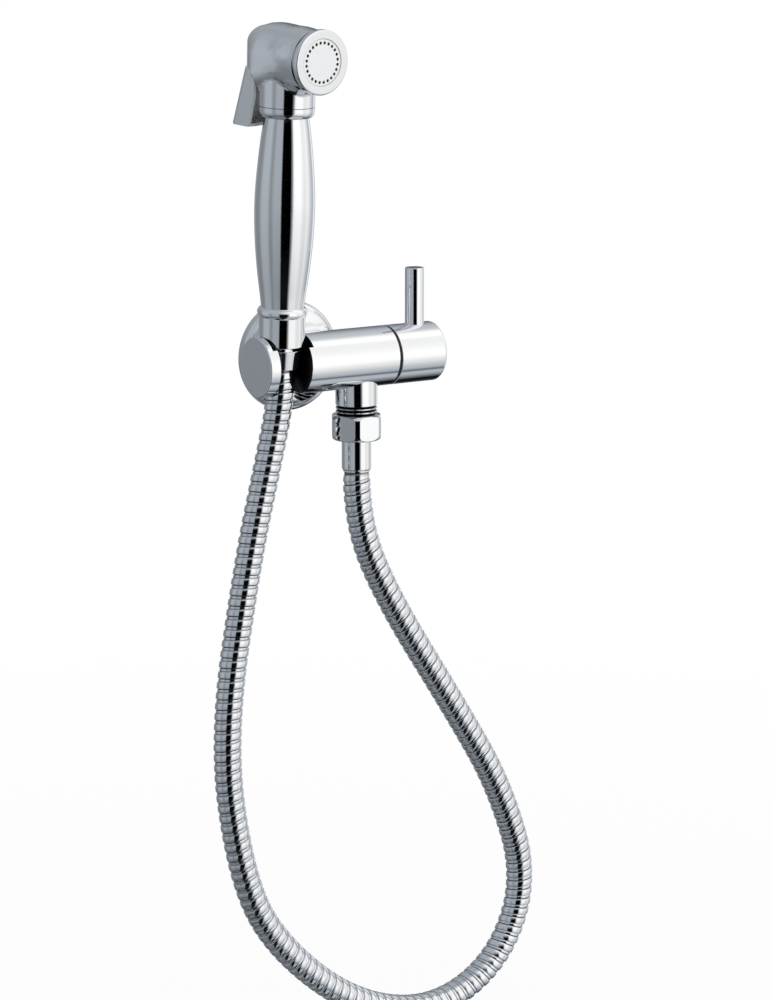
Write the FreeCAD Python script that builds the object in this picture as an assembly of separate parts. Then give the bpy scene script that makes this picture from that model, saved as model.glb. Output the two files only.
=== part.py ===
import FreeCAD
import Part
import math
import os

# Handheld bidet shower: a quarter-turn shut-off valve that holds the handset,
# the handset with its trigger, and the metal hose between them. Millimetres.
# Frame: origin on the inlet axis in the wall plane, +Y into the wall,
# +Z up, the body of the valve along X in front of the wall.

V = FreeCAD.Vector

# Standard pipe thread and general clearances
THREAD_R = 10.4775
THREAD_PITCH = 1.814
THREAD_CLEAR = 0.05
RUN_CLEAR = 0.04
SEAT_CLEAR = 0.3
AXIAL_CLEAR = 0.1
EDGE = 0.3

# Valve body
BODY_R = 15.0
BODY_STANDOFF = 28.0
BODY_LEFT = -34.5
BODY_RIGHT = 40.9
INLET_BORE_R = 7.0
INLET_DEPTH = 14.0
INLET_RELIEF = 0.28
INLET_THREAD_START = -1.0
CHAMBER_R = 6.0
CAVITY_LEFT = 12.0
CAVITY_R = 10.0
BODY_SOCKET_R = 9.95
OUTLET_X = 24.2
OUTLET_BORE_R = 5.5
OUTLET_THREAD_TOP = -23.3
OUTLET_GROOVE_DEPTH = 0.85

# Wall flange
FLANGE_R = 27.6
FLANGE_DEPTH = 8.5
FLANGE_WALL = 1.2
FLANGE_EDGE_R = 4.5
FLANGE_SHOULDER = 8.0
FLANGE_CROWN = 1.0
FLANGE_HOLE_CLEAR = 0.25

# Holder for the handset, cut into the left end of the body
SEAT_X = -19.8
SEAT_TILT = 3.0
HANDSET_TURN = 6.0
SEAT_BORE_R = 10.4
SLOT_WIDTH = 18.4
LEDGE_Z = 10.0

# Cartridge and its discs
DISC_THICK = 2.5
DISC_R = 7.3
SEAL_THICK = 2.4
HOUSING_R = 8.6
HOUSING_CAVITY_R = 7.5
HOUSING_FLANGE_R = 12.0
HOUSING_FLANGE_THICK = 2.5
HOUSING_NOSE_R = 7.5
HOUSING_NOSE_LENGTH = 6.0
WINDOW_HALF = 4.0
SPINDLE_R = 4.0
DRIVE_THICK = 3.0
ORING_WIRE_R = 0.8
CIRCLIP_THICK = 1.0
CIRCLIP_R = 6.0

# Slip ring, knob and lever pin
RING_R = 14.8
RING_THICK = 1.3
KNOB_GAP = 0.12
KNOB_LENGTH = 27.1
KNOB_R = 15.0
KNOB_EDGE_R = 1.5
KNOB_BORE_CLEAR = 0.5
KNOB_BORE_DEPTH = 12.5
PIN_X = 59.0
PIN_R = 4.8
PIN_TOP = 43.0
PIN_SEAT_DEPTH = 2.2
PIN_STUD_R = 3.0
PIN_STUD_LENGTH = 4.5
GRUB_R = 2.0
GRUB_LENGTH = 5.0
KNOB_MOUTH_WALL = 3.0

# Hose and its two ends
HOSE_R = 7.0
HOSE_BORE_R = 5.0
NUT_FLATS = 24.0
NUT_R = 13.2
NUT_TOP = -28.2
NUT_HEIGHT = 13.1
NUT_LIP = 2.4
FERRULE_R = 7.4
FERRULE_LENGTH = 15.9
FERRULE_NECK_R = 6.9
INSERT_R = 4.9
INSERT_BORE_R = 3.4
INSERT_FLANGE_R = 9.2
INSERT_FLANGE = 2.0
INSERT_REACH = 3.0
INSERT_NECK_R = 6.2
WASHER_THICK = 2.0
WASHER_R = 9.6

# Handset, measured along its own axis from the axis of the valve body
CONE_TOP = 8.3
CONE_BOTTOM = -1.2
CONE_TOP_R = 9.8
CONE_BOTTOM_R = 8.45
CONE_NECK_R = 7.2
COLLAR_R = 11.5
COLLAR_TOP = 24.7
BEAD_R = 12.4
BEAD_TOP_R = 10.5
GRIP_BOTTOM = 29.5
GRIP_TOP = 122.3
GRIP_BOTTOM_R = 10.6
GRIP_WAIST_R = 14.8
GRIP_TOP_R = 10.85
GRIP_WALL = 1.9
GRIP_BORE_LEAD = 3.0
SPIGOT_R = 8.0
SPIGOT_LENGTH = 10.0
TUBE_R = 6.0
TUBE_BORE_R = 4.5
TUBE_OVERLAP = 7.0
NECK_R = 13.6
NECK_RING_TOP = 127.5
NECK_RING_STEP = 0.2
NECK_RING_ROUND = 3.4
PLENUM = 2.5
PORT_R = 2.0

# Head: a barrel across the top of the neck, squared at its back
HEAD_Z = 151.5
HEAD_BACK = 17.0
HEAD_BACK_HALF = 16.4
HEAD_WAIST_R = 14.9
HEAD_RIM_R = 15.4
HEAD_CORNER_R = 9.0
HEAD_WAIST_Y = 12.0
RIM_START = 16.7
HEAD_FRONT = 22.3
HEAD_BLEND_R = 3.0
HEAD_CHAMBER_R = 9.0
HEAD_SOCKET_R = 12.6
HEAD_SOCKET_DEPTH = 8.0
WALL_BEHIND_CHAMBER = 3.0
GROOVE_WIDTH = 1.6
BEZEL_R = 15.7
BEZEL_WIDTH = 3.1
BEZEL_LIP = 1.2
FACE_R = 11.3
FACE_RIM_R = 11.9
FACE_STEP = 1.2
HOLE_COUNT = 24
HOLE_CIRCLE_R = 9.45
HOLE_R = 0.8
GASKET_THICK = 1.5

# Trigger and the valve that it opens
PIVOT_BACK = 10.2
PIVOT_Z = 142.3
PIVOT_PIN_R = 1.5
PIN_INSET = 0.2
EAR_R = 3.0
TRIGGER_HALF = 13.0
TRIGGER_WALL = 1.5
TRIGGER_CORNER_R = 4.0
TRIGGER_TOP = 145.8
TRIGGER_BOTTOM = 116.8
WEB_BACK_TOP = 19.2
WEB_BACK_BOTTOM = 28.8
POCKET_CLEAR = 0.4
STEM_Z = 133.4
STEM_R = 2.0
POPPET_R = 3.6
POPPET_THICK = 1.6
POPPET_FRONT = -1.2
POPPET_SEAL = 0.8
VALVE_BORE_R = 4.2
VALVE_BORE_FRONT = -9.5
SEAT_LENGTH = 2.0
SEAT_PORT_R = 2.8
GLAND_R = 4.6
GLAND_LENGTH = 6.0
GLAND_HEAD_R = 5.4
GLAND_HEAD = 1.5
SPRING_WIRE_R = 0.4
SPRING_R = 2.8
SPRING_TURNS = 4

# Values that follow from the ones above
AXIS_Y = -BODY_STANDOFF
INLET_SHANK_R = THREAD_R - INLET_RELIEF
RING_RIGHT = BODY_RIGHT + RING_THICK
KNOB_LEFT = RING_RIGHT + KNOB_GAP
KNOB_RIGHT = KNOB_LEFT + KNOB_LENGTH
SLOT_HALF = SLOT_WIDTH / 2
LEDGE_R = COLLAR_R + SEAT_CLEAR
NUT_BOTTOM = NUT_TOP - NUT_HEIGHT
OUTLET_BOTTOM = NUT_BOTTOM + NUT_LIP + INSERT_FLANGE + WASHER_THICK
FERRULE_BOTTOM = NUT_BOTTOM - FERRULE_LENGTH


# Shape helpers

def profile_face(points):
    """Face in the XZ plane from (radius, height, corner radius) points."""
    corners = [V(r, 0, z) for r, z, f in points]
    rounds = [f for r, z, f in points]
    count = len(corners)
    edges = []
    starts = []
    ends = []
    arcs = []
    for i in range(count):
        here = corners[i]
        before = corners[i - 1] - here
        after = corners[(i + 1) % count] - here
        if rounds[i] <= 0:
            starts.append(here)
            ends.append(here)
            arcs.append(None)
            continue
        turn = math.pi - before.getAngle(after)
        reach = rounds[i] * math.tan(turn / 2)
        a = here + before.normalize() * reach
        b = here + after.normalize() * reach
        middle = (before + after).normalize()
        depth = rounds[i] / math.cos(turn / 2) - rounds[i]
        starts.append(a)
        ends.append(b)
        arcs.append(here + middle * depth)
    for i in range(count):
        if arcs[i] is not None:
            edges.append(Part.Arc(starts[i], arcs[i], ends[i]).toShape())
        a = ends[i]
        b = starts[(i + 1) % count]
        if a.distanceToPoint(b) > 1e-6:
            edges.append(Part.LineSegment(a, b).toShape())
    return Part.Face(Part.Wire(edges))


def turned(points):
    """Solid of revolution about +Z from (radius, height[, corner]) points."""
    full = [(p[0], p[1], p[2] if len(p) > 2 else 0.0) for p in points]
    return profile_face(full).revolve(V(0, 0, 0), V(0, 0, 1), 360)


def ring(outer, inner, bottom, top, edge=0.0):
    """Plain ring about +Z, its outer corners rounded by edge."""
    return turned([(inner, bottom), (outer, bottom, edge), (outer, top, edge), (inner, top)])


def rod(radius, bottom, top):
    return Part.makeCylinder(radius, top - bottom, V(0, 0, bottom))


def box(x0, x1, y0, y1, z0, z1):
    return Part.makeBox(x1 - x0, y1 - y0, z1 - z0, V(x0, y0, z0))


def torus(major, minor, z):
    return Part.makeTorus(major, minor, V(0, 0, z), V(0, 0, 1))


def placed(shape, placement):
    out = shape.copy()
    out.Placement = placement.multiply(out.Placement)
    return out


def place(x, y, z, axis, angle):
    return FreeCAD.Placement(V(x, y, z), FreeCAD.Rotation(axis, angle))


def along_x(shape):
    """From +Z on the origin to +X on the axis of the valve body."""
    return placed(shape, place(0, AXIS_Y, 0, V(0, 1, 0), 90))


def into_wall(shape):
    """From +Z on the origin to +Y on the inlet axis."""
    return placed(shape, place(0, 0, 0, V(1, 0, 0), -90))


def on_outlet(shape):
    """Keeps +Z up and moves to the outlet axis."""
    return placed(shape, place(OUTLET_X, AXIS_Y, 0, V(0, 0, 1), 0))


def forward(shape, z):
    """From +Z to the front of the handset, at height z of its axis."""
    return placed(shape, place(0, 0, z, V(1, 0, 0), 90))


def handset(shape):
    """From the handset's own frame to its seat in the holder."""
    turn = FreeCAD.Rotation(V(0, 0, 1), HANDSET_TURN)
    tilt = FreeCAD.Rotation(V(1, 0, 0), SEAT_TILT)
    return placed(shape, FreeCAD.Placement(V(SEAT_X, AXIS_Y, 0), tilt.multiply(turn)))


def seat_frame(shape):
    """The holder's frame: the handset's, without its turn."""
    tilt = FreeCAD.Rotation(V(1, 0, 0), SEAT_TILT)
    return placed(shape, FreeCAD.Placement(V(SEAT_X, AXIS_Y, 0), tilt))


def grooved(radius, top, count, pitch, depth):
    """Cutter for a row of V grooves round a rod, downwards from top."""
    cutters = []
    half = pitch * 0.46
    for i in range(count):
        z = top - half - i * pitch
        cutters.append(turned([(radius + 1, z - half * (1 + 1 / depth)),
                               (radius + 1, z + half * (1 + 1 / depth)),
                               (radius - depth, z)]))
    return Part.makeCompound(cutters)


# Valve body with its holder, inlet and outlet

def make_valve_body():
    body = along_x(turned([(0, BODY_LEFT), (BODY_R, BODY_LEFT, 0.6),
                           (BODY_R, BODY_RIGHT, EDGE), (0, BODY_RIGHT)]))
    inlet = into_wall(turned([(0, AXIS_Y), (INLET_SHANK_R, AXIS_Y),
                              (INLET_SHANK_R, INLET_THREAD_START),
                              (THREAD_R, INLET_THREAD_START),
                              (THREAD_R, INLET_DEPTH, 0.8), (0, INLET_DEPTH)]))
    outlet = on_outlet(turned([(0, OUTLET_BOTTOM), (THREAD_R, OUTLET_BOTTOM, 0.8),
                               (THREAD_R, 0), (0, 0)]))
    count = int((OUTLET_THREAD_TOP - OUTLET_BOTTOM - 1) / THREAD_PITCH)
    grooves = grooved(THREAD_R, OUTLET_THREAD_TOP, count, THREAD_PITCH,
                      OUTLET_GROOVE_DEPTH)
    outlet = outlet.cut(on_outlet(grooves))
    body = body.fuse([inlet, outlet])
    cavity = along_x(turned([(0, CAVITY_LEFT), (CAVITY_R, CAVITY_LEFT),
                             (CAVITY_R, BODY_RIGHT + 1), (0, BODY_RIGHT + 1)]))
    chamber = along_x(rod(CHAMBER_R, 0, CAVITY_LEFT + 1))
    inlet_bore = into_wall(rod(INLET_BORE_R, AXIS_Y, INLET_DEPTH + 1))
    outlet_bore = on_outlet(rod(OUTLET_BORE_R, OUTLET_BOTTOM - 1, 0))
    reach = BODY_R * 2
    seat = rod(SEAT_BORE_R, -reach, reach)
    ledge = rod(LEDGE_R, LEDGE_Z, reach)
    slot = box(-SLOT_HALF, SLOT_HALF, -reach, 0, -reach, reach)
    mouth = box(-LEDGE_R, LEDGE_R, -reach, 0, LEDGE_Z, reach)
    holder = [seat_frame(s) for s in (seat, ledge, slot, mouth)]
    return body.cut([cavity, chamber, inlet_bore, outlet_bore] + holder)


def make_wall_flange():
    hole = THREAD_R + FLANGE_HOLE_CLEAR
    outer = FLANGE_EDGE_R
    inner = FLANGE_EDGE_R - FLANGE_WALL
    rim = -FLANGE_DEPTH + FLANGE_CROWN
    shoulder = -FLANGE_DEPTH + FLANGE_CROWN * 0.3
    cup = turned([(hole, -FLANGE_DEPTH), (FLANGE_R - FLANGE_SHOULDER, shoulder),
                  (FLANGE_R, rim, outer), (FLANGE_R, 0), (FLANGE_R - FLANGE_WALL, 0),
                  (FLANGE_R - FLANGE_WALL, rim + FLANGE_WALL, inner),
                  (FLANGE_R - FLANGE_SHOULDER, shoulder + FLANGE_WALL),
                  (hole, -FLANGE_DEPTH + FLANGE_WALL)])
    return into_wall(cup)


# Cartridge: seal, fixed disc, moving disc and spindle in a screwed housing

SEAL_RIGHT = CAVITY_LEFT + SEAL_THICK
FIXED_RIGHT = SEAL_RIGHT + DISC_THICK
MOVING_RIGHT = FIXED_RIGHT + DISC_THICK
DRIVE_RIGHT = MOVING_RIGHT + DRIVE_THICK
NOSE_RIGHT = BODY_RIGHT + HOUSING_FLANGE_THICK + HOUSING_NOSE_LENGTH
SPINDLE_RIGHT = KNOB_RIGHT - KNOB_MOUTH_WALL - 4
ORING_X = BODY_RIGHT - 6
SOCKET_LEFT = OUTLET_X + OUTLET_BORE_R + 1.5


def disc_with_ports(left, right, turn):
    disc = rod(DISC_R, left, right)
    ports = []
    for i in range(2):
        port = ring(DISC_R - 1.5, 2.0, left - 1, right + 1)
        wedge = Part.makeCylinder(DISC_R + 1, right - left + 2, V(0, 0, left - 1),
                                  V(0, 0, 1), 80)
        wedge.rotate(V(0, 0, 0), V(0, 0, 1), turn + 180 * i - 40)
        ports.append(port.common(wedge))
    return along_x(disc.cut(ports))


def make_cartridge_housing():
    left = SEAL_RIGHT - DISC_THICK * 0.4
    shell = turned([(HOUSING_CAVITY_R, left), (HOUSING_R, left), (HOUSING_R, SOCKET_LEFT),
                    (BODY_SOCKET_R, SOCKET_LEFT), (BODY_SOCKET_R, BODY_RIGHT),
                    (HOUSING_FLANGE_R, BODY_RIGHT, 0.2),
                    (HOUSING_FLANGE_R, BODY_RIGHT + HOUSING_FLANGE_THICK, EDGE),
                    (HOUSING_NOSE_R, BODY_RIGHT + HOUSING_FLANGE_THICK),
                    (HOUSING_NOSE_R, NOSE_RIGHT, EDGE), (SPINDLE_R + RUN_CLEAR, NOSE_RIGHT),
                    (SPINDLE_R + RUN_CLEAR, DRIVE_RIGHT + RUN_CLEAR),
                    (HOUSING_CAVITY_R, DRIVE_RIGHT + RUN_CLEAR)])
    reach = 2 * HOUSING_R
    window = box(-reach, reach, -WINDOW_HALF, WINDOW_HALF, FIXED_RIGHT, DRIVE_RIGHT + AXIAL_CLEAR)
    return along_x(shell.cut(window))


def make_cartridge_spindle():
    groove = ORING_WIRE_R * 2
    waist = SPINDLE_R - groove
    slot = CIRCLIP_THICK + AXIAL_CLEAR
    seat = NOSE_RIGHT + AXIAL_CLEAR
    spindle = turned([(0, MOVING_RIGHT), (DISC_R - 0.2, MOVING_RIGHT),
                      (DISC_R - 0.2, DRIVE_RIGHT), (SPINDLE_R, DRIVE_RIGHT),
                      (SPINDLE_R, ORING_X - groove * 0.6), (waist, ORING_X - groove * 0.6),
                      (waist, ORING_X + groove * 0.6), (SPINDLE_R, ORING_X + groove * 0.6),
                      (SPINDLE_R, seat), (SPINDLE_R - 0.8, seat),
                      (SPINDLE_R - 0.8, seat + slot), (SPINDLE_R, seat + slot),
                      (SPINDLE_R, SPINDLE_RIGHT, 0.4), (0, SPINDLE_RIGHT)])
    return along_x(spindle)


def make_circlip():
    left = NOSE_RIGHT + AXIAL_CLEAR
    inner = SPINDLE_R - 0.75
    clip = ring(CIRCLIP_R, inner, left + 0.02, left + CIRCLIP_THICK)
    gap = box(0, CIRCLIP_R + 1, -1.4, 1.4, left - 1, left + CIRCLIP_THICK + 1)
    return along_x(clip.cut(gap))


def make_knob():
    bore_r = HOUSING_FLANGE_R + KNOB_BORE_CLEAR
    knob = turned([(0, KNOB_LEFT), (KNOB_R, KNOB_LEFT, EDGE), (KNOB_R, KNOB_RIGHT, KNOB_EDGE_R),
                   (0, KNOB_RIGHT)])
    bore = rod(bore_r, KNOB_LEFT - 1, KNOB_LEFT + KNOB_BORE_DEPTH)
    shaft = rod(SPINDLE_R + 0.02, KNOB_LEFT, SPINDLE_RIGHT + 0.5)
    knob = along_x(knob.cut([bore, shaft]))
    top = BODY_R - PIN_SEAT_DEPTH
    here = place(PIN_X, AXIS_Y, 0, V(0, 0, 1), 0)
    seat = placed(rod(PIN_R + 0.02, top, KNOB_R + 5), here)
    stud = placed(rod(PIN_STUD_R + 0.02, top - PIN_STUD_LENGTH - 0.5, top + 1), here)
    grub = placed(rod(GRUB_R + 0.02, -KNOB_R - 1, 0), here)
    return knob.cut([seat, stud, grub])


def make_lever_pin():
    top = BODY_R - PIN_SEAT_DEPTH
    pin = turned([(0, top - PIN_STUD_LENGTH), (PIN_STUD_R, top - PIN_STUD_LENGTH, 0.4),
                  (PIN_STUD_R, top), (PIN_R, top), (PIN_R, PIN_TOP, 0.5), (0, PIN_TOP)])
    return placed(pin, place(PIN_X, AXIS_Y, 0, V(0, 0, 1), 0))


def make_grub_screw():
    tip = -SPINDLE_R - 0.02
    screw = rod(GRUB_R, tip - GRUB_LENGTH, tip)
    hexagon = Part.makePolygon([V(1.15 * math.cos(math.radians(60 * i)),
                                  1.15 * math.sin(math.radians(60 * i)),
                                  tip - GRUB_LENGTH - 1) for i in range(7)])
    socket = Part.Face(hexagon).extrude(V(0, 0, 3.2))
    return placed(screw.cut(socket), place(PIN_X, AXIS_Y, 0, V(0, 0, 1), 0))


# Hose ends

def hose_insert(flange_top, ferrule_bottom):
    """Flanged tail from flange_top down through its ferrule into the hose."""
    tail = ferrule_bottom - INSERT_REACH
    shoulder = flange_top - INSERT_FLANGE
    return turned([(INSERT_BORE_R, flange_top), (INSERT_FLANGE_R, flange_top, 0.2),
                   (INSERT_FLANGE_R, shoulder), (INSERT_NECK_R, shoulder),
                   (INSERT_NECK_R, shoulder - NUT_LIP), (INSERT_R, shoulder - NUT_LIP),
                   (INSERT_R, tail, 0.5),
                   (INSERT_BORE_R, tail)])


def make_hose_nut():
    low = NUT_BOTTOM
    top = NUT_TOP
    bore = THREAD_R + THREAD_CLEAR
    lip = INSERT_NECK_R + 0.2
    body = turned([(lip, low), (NUT_R, low, 3.0), (NUT_R, top, 2.4),
                   (bore, top), (bore, low + NUT_LIP), (lip, low + NUT_LIP)])
    corner = NUT_FLATS / math.sqrt(3)
    outline = [V(corner * math.cos(math.radians(60 * i)),
                 corner * math.sin(math.radians(60 * i)), low - 1) for i in range(7)]
    prism = Part.Face(Part.makePolygon(outline)).extrude(V(0, 0, top - low + 2))
    return on_outlet(body.common(prism))


def make_valve_end_ferrule():
    top = NUT_BOTTOM
    neck = 1.4
    bore = INSERT_R + 0.02
    shape = turned([(bore, top), (FERRULE_R, top, 0.3), (FERRULE_R, FERRULE_BOTTOM + neck, 0.4),
                    (FERRULE_NECK_R, FERRULE_BOTTOM + neck * 0.4),
                    (FERRULE_NECK_R, FERRULE_BOTTOM), (bore, FERRULE_BOTTOM)])
    return on_outlet(shape)


# Route of the hose: corners of its centre line between its two straight ends
HOSE_FIRST_RUN = 17.1
HOSE_LAST_RUN = 26.3
HOSE_ROUTE = [
    (-26.4, -26.4, -47.2), (-39.1, -26.6, -97.0), (-54.7, -27.2, -184.4),
    (-46.1, -27.7, -252.1), (-28.6, -28.1, -293.5), (18.2, -28.6, -336.3),
    (69.6, -28.9, -351.2), (112.4, -28.7, -331.3), (130.7, -28.4, -287.7),
    (113.0, -28.1, -234.8), (86.1, -28.0, -190.7), (42.8, -28.0, -125.1),
]


def hose_points():
    axis = FreeCAD.Rotation(V(1, 0, 0), SEAT_TILT).multVec(V(0, 0, 1))
    start = V(SEAT_X, AXIS_Y, 0) + axis * CONE_BOTTOM
    below = start - axis * HOSE_FIRST_RUN
    middle = [V(*p) for p in HOSE_ROUTE]
    end = V(OUTLET_X, AXIS_Y, FERRULE_BOTTOM)
    above = end - V(0, 0, HOSE_LAST_RUN)
    return [start, below] + middle + [above, end]


def hose_path():
    points = hose_points()
    edges = []
    radii = []
    last = points[0]
    for i in range(1, len(points) - 1):
        here = points[i]
        back = points[i - 1] - here
        ahead = points[i + 1] - here
        turn = math.pi - back.getAngle(ahead)
        reach = 0.45 * min(back.Length, ahead.Length)
        radius = reach / math.tan(turn / 2)
        a = here + V(back).normalize() * reach
        b = here + V(ahead).normalize() * reach
        depth = radius / math.cos(turn / 2) - radius
        middle = here + (V(back).normalize() + V(ahead).normalize()).normalize() * depth
        edges.append(Part.LineSegment(last, a).toShape())
        edges.append(Part.Arc(a, middle, b).toShape())
        radii.append(round(radius, 1))
        last = b
    edges.append(Part.LineSegment(last, points[-1]).toShape())
    return Part.Wire(edges), radii


def make_hose():
    path, radii = hose_path()
    points = hose_points()
    heading = points[1] - points[0]
    solids = []
    for radius in (HOSE_R, HOSE_BORE_R):
        section = Part.Wire(Part.makeCircle(radius, points[0], heading))
        solids.append(path.makePipeShell([section], True, False))
    tube = solids[0].cut(solids[1])
    section = math.pi * (HOSE_R ** 2 - HOSE_BORE_R ** 2)
    print("hose length", round(path.Length, 1), "radii", radii)
    print("hose volume", round(tube.Volume), "section times length", round(section * path.Length))
    return tube


# Handset, from its foot upwards

def make_cone_ferrule():
    bore = INSERT_R + 0.02
    return turned([(bore, CONE_BOTTOM), (CONE_BOTTOM_R, CONE_BOTTOM, 0.3),
                   (CONE_TOP_R, CONE_TOP, 0.4), (CONE_NECK_R, CONE_TOP),
                   (CONE_NECK_R, LEDGE_Z), (bore, LEDGE_Z)])


def make_handset_hose_nut():
    bore = THREAD_R + THREAD_CLEAR
    lip = INSERT_NECK_R + 0.2
    top = COLLAR_TOP
    return turned([(lip, LEDGE_Z), (COLLAR_R, LEDGE_Z, 0.5), (COLLAR_R, top, 0.3),
                   (bore, top), (bore, LEDGE_Z + NUT_LIP), (lip, LEDGE_Z + NUT_LIP)])


HANDSET_FLANGE_TOP = LEDGE_Z + NUT_LIP + INSERT_FLANGE
CONNECTOR_BOTTOM = HANDSET_FLANGE_TOP + WASHER_THICK
GRIP_BORE_BOTTOM = GRIP_BOTTOM + SPIGOT_LENGTH
GRIP_BORE_TOP = GRIP_TOP - SPIGOT_LENGTH


def make_handset_connector():
    low = COLLAR_TOP
    high = GRIP_BOTTOM
    middle = (low + high) / 2
    spigot = GRIP_BOTTOM + SPIGOT_LENGTH
    outline = [
        Part.LineSegment(V(TUBE_BORE_R, 0, CONNECTOR_BOTTOM), V(THREAD_R, 0, CONNECTOR_BOTTOM)),
        Part.LineSegment(V(THREAD_R, 0, CONNECTOR_BOTTOM), V(THREAD_R, 0, low)),
        Part.LineSegment(V(THREAD_R, 0, low), V(COLLAR_R, 0, low)),
        Part.Arc(V(COLLAR_R, 0, low), V(BEAD_R, 0, middle), V(BEAD_TOP_R, 0, high)),
        Part.LineSegment(V(BEAD_TOP_R, 0, high), V(SPIGOT_R, 0, high)),
        Part.LineSegment(V(SPIGOT_R, 0, high), V(SPIGOT_R, 0, spigot)),
        Part.LineSegment(V(SPIGOT_R, 0, spigot), V(TUBE_R + 0.02, 0, spigot)),
        Part.LineSegment(V(TUBE_R + 0.02, 0, spigot), V(TUBE_R + 0.02, 0, spigot - TUBE_OVERLAP)),
        Part.LineSegment(V(TUBE_R + 0.02, 0, spigot - TUBE_OVERLAP),
                         V(TUBE_BORE_R, 0, spigot - TUBE_OVERLAP)),
        Part.LineSegment(V(TUBE_BORE_R, 0, spigot - TUBE_OVERLAP),
                         V(TUBE_BORE_R, 0, CONNECTOR_BOTTOM)),
    ]
    face = Part.Face(Part.Wire([e.toShape() for e in outline]))
    return face.revolve(V(0, 0, 0), V(0, 0, 1), 360)


# Outline of the grip: share of its height, and share of the swell from its
# lower or upper end radius to its waist
GRIP_SHAPE = [(0.055, 0.14), (0.139, 0.40), (0.219, 0.61), (0.30, 0.785), (0.38, 0.905),
              (0.46, 0.98), (0.54, 1.0)]
GRIP_SHAPE_TOP = [(0.62, 0.94), (0.70, 0.82), (0.78, 0.66), (0.86, 0.47), (0.94, 0.23)]


def grip_outline():
    height = GRIP_TOP - GRIP_BOTTOM
    points = [V(GRIP_BOTTOM_R, 0, GRIP_BOTTOM)]
    for share, swell in GRIP_SHAPE:
        r = GRIP_BOTTOM_R + swell * (GRIP_WAIST_R - GRIP_BOTTOM_R)
        points.append(V(r, 0, GRIP_BOTTOM + share * height))
    for share, swell in GRIP_SHAPE_TOP:
        r = GRIP_TOP_R + swell * (GRIP_WAIST_R - GRIP_TOP_R)
        points.append(V(r, 0, GRIP_BOTTOM + share * height))
    points.append(V(GRIP_TOP_R, 0, GRIP_TOP))
    return points


def make_grip():
    outer = grip_outline()
    lowest = GRIP_BORE_BOTTOM + GRIP_BORE_LEAD
    highest = GRIP_BORE_TOP - GRIP_BORE_LEAD
    inner = [V(p.x - GRIP_WALL, 0, p.z) for p in outer if lowest < p.z < highest]
    bore = SPIGOT_R + 0.02
    low = V(bore, 0, GRIP_BORE_BOTTOM)
    high = V(bore, 0, GRIP_BORE_TOP)
    outside = Part.BSplineCurve()
    outside.interpolate(outer)
    inside = Part.BSplineCurve()
    inside.interpolate(inner)
    edges = [
        outside.toShape(),
        Part.LineSegment(outer[-1], V(bore, 0, GRIP_TOP)).toShape(),
        Part.LineSegment(V(bore, 0, GRIP_TOP), high).toShape(),
        Part.LineSegment(high, inner[-1]).toShape(),
        inside.toShape(),
        Part.LineSegment(inner[0], low).toShape(),
        Part.LineSegment(low, V(bore, 0, GRIP_BOTTOM)).toShape(),
        Part.LineSegment(V(bore, 0, GRIP_BOTTOM), outer[0]).toShape(),
    ]
    face = Part.Face(Part.Wire(Part.__sortEdges__(edges)))
    return face.revolve(V(0, 0, 0), V(0, 0, 1), 360)


TUBE_BOTTOM = GRIP_BOTTOM + SPIGOT_LENGTH - TUBE_OVERLAP
TUBE_TOP = GRIP_BORE_TOP + TUBE_OVERLAP


def make_water_tube():
    tube = ring(TUBE_R, TUBE_BORE_R, TUBE_BOTTOM, TUBE_TOP)
    grooves = []
    for z in (TUBE_BOTTOM + TUBE_OVERLAP / 2, TUBE_TOP - TUBE_OVERLAP / 2):
        grooves.append(ring(TUBE_R + 1, TUBE_R - 0.8, z - 0.9, z + 0.9))
    return tube.cut(grooves)


def make_tube_o_rings():
    rings = []
    for z in (TUBE_BOTTOM + TUBE_OVERLAP / 2, TUBE_TOP - TUBE_OVERLAP / 2):
        rings.append(torus(TUBE_R - 0.4, 0.4, z))
    return Part.makeCompound(rings)


def make_neck_ring():
    """Collar whose rounded lower edge ends tangent to its straight side."""
    bore = SPIGOT_R + 0.02
    low = GRIP_TOP
    side = low + NECK_RING_ROUND
    width = NECK_R - GRIP_TOP_R - NECK_RING_STEP
    radius = (width ** 2 + NECK_RING_ROUND ** 2) / (2 * width)
    half = math.asin(NECK_RING_ROUND / radius) / 2
    middle = V(NECK_R - radius * (1 - math.cos(half)), 0, side - radius * math.sin(half))
    corners = [V(NECK_R, 0, side), V(NECK_R, 0, NECK_RING_TOP), V(bore, 0, NECK_RING_TOP),
               V(bore, 0, low), V(NECK_R - width, 0, low)]
    edges = [Part.Arc(corners[-1], middle, corners[0]).toShape()]
    for a, b in zip(corners, corners[1:]):
        edges.append(Part.LineSegment(a, b).toShape())
    return Part.Face(Part.Wire(edges)).revolve(V(0, 0, 0), V(0, 0, 1), 360)


# Head casting: barrel, neck, waterways and the pocket for the trigger

SOCKET_FLOOR = HEAD_FRONT - HEAD_SOCKET_DEPTH
CHAMBER_BACK = -(PIVOT_BACK - PIVOT_PIN_R - WALL_BEHIND_CHAMBER)
SEAT_FRONT = POPPET_FRONT + POPPET_THICK + POPPET_SEAL
GLAND_FRONT = NECK_R - GLAND_LENGTH
FEED_Y = (VALVE_BORE_FRONT + POPPET_FRONT) / 2
RISE_Y = (SEAT_FRONT + SEAT_LENGTH + GLAND_FRONT) / 2


def side_outline(points, half_width):
    """Solid from a (y, z, corner radius) outline, half_width to each side."""
    face = profile_face(points)
    face.rotate(V(0, 0, 0), V(0, 0, 1), 90)
    face.translate(V(-half_width, 0, 0))
    return face.extrude(V(2 * half_width, 0, 0))


def pivot_rod(radius, half):
    """Rod about the trigger's pivot, half to each side."""
    return Part.makeCylinder(radius, 2 * half, V(-half, PIVOT_BACK, PIVOT_Z), V(1, 0, 0))


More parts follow.
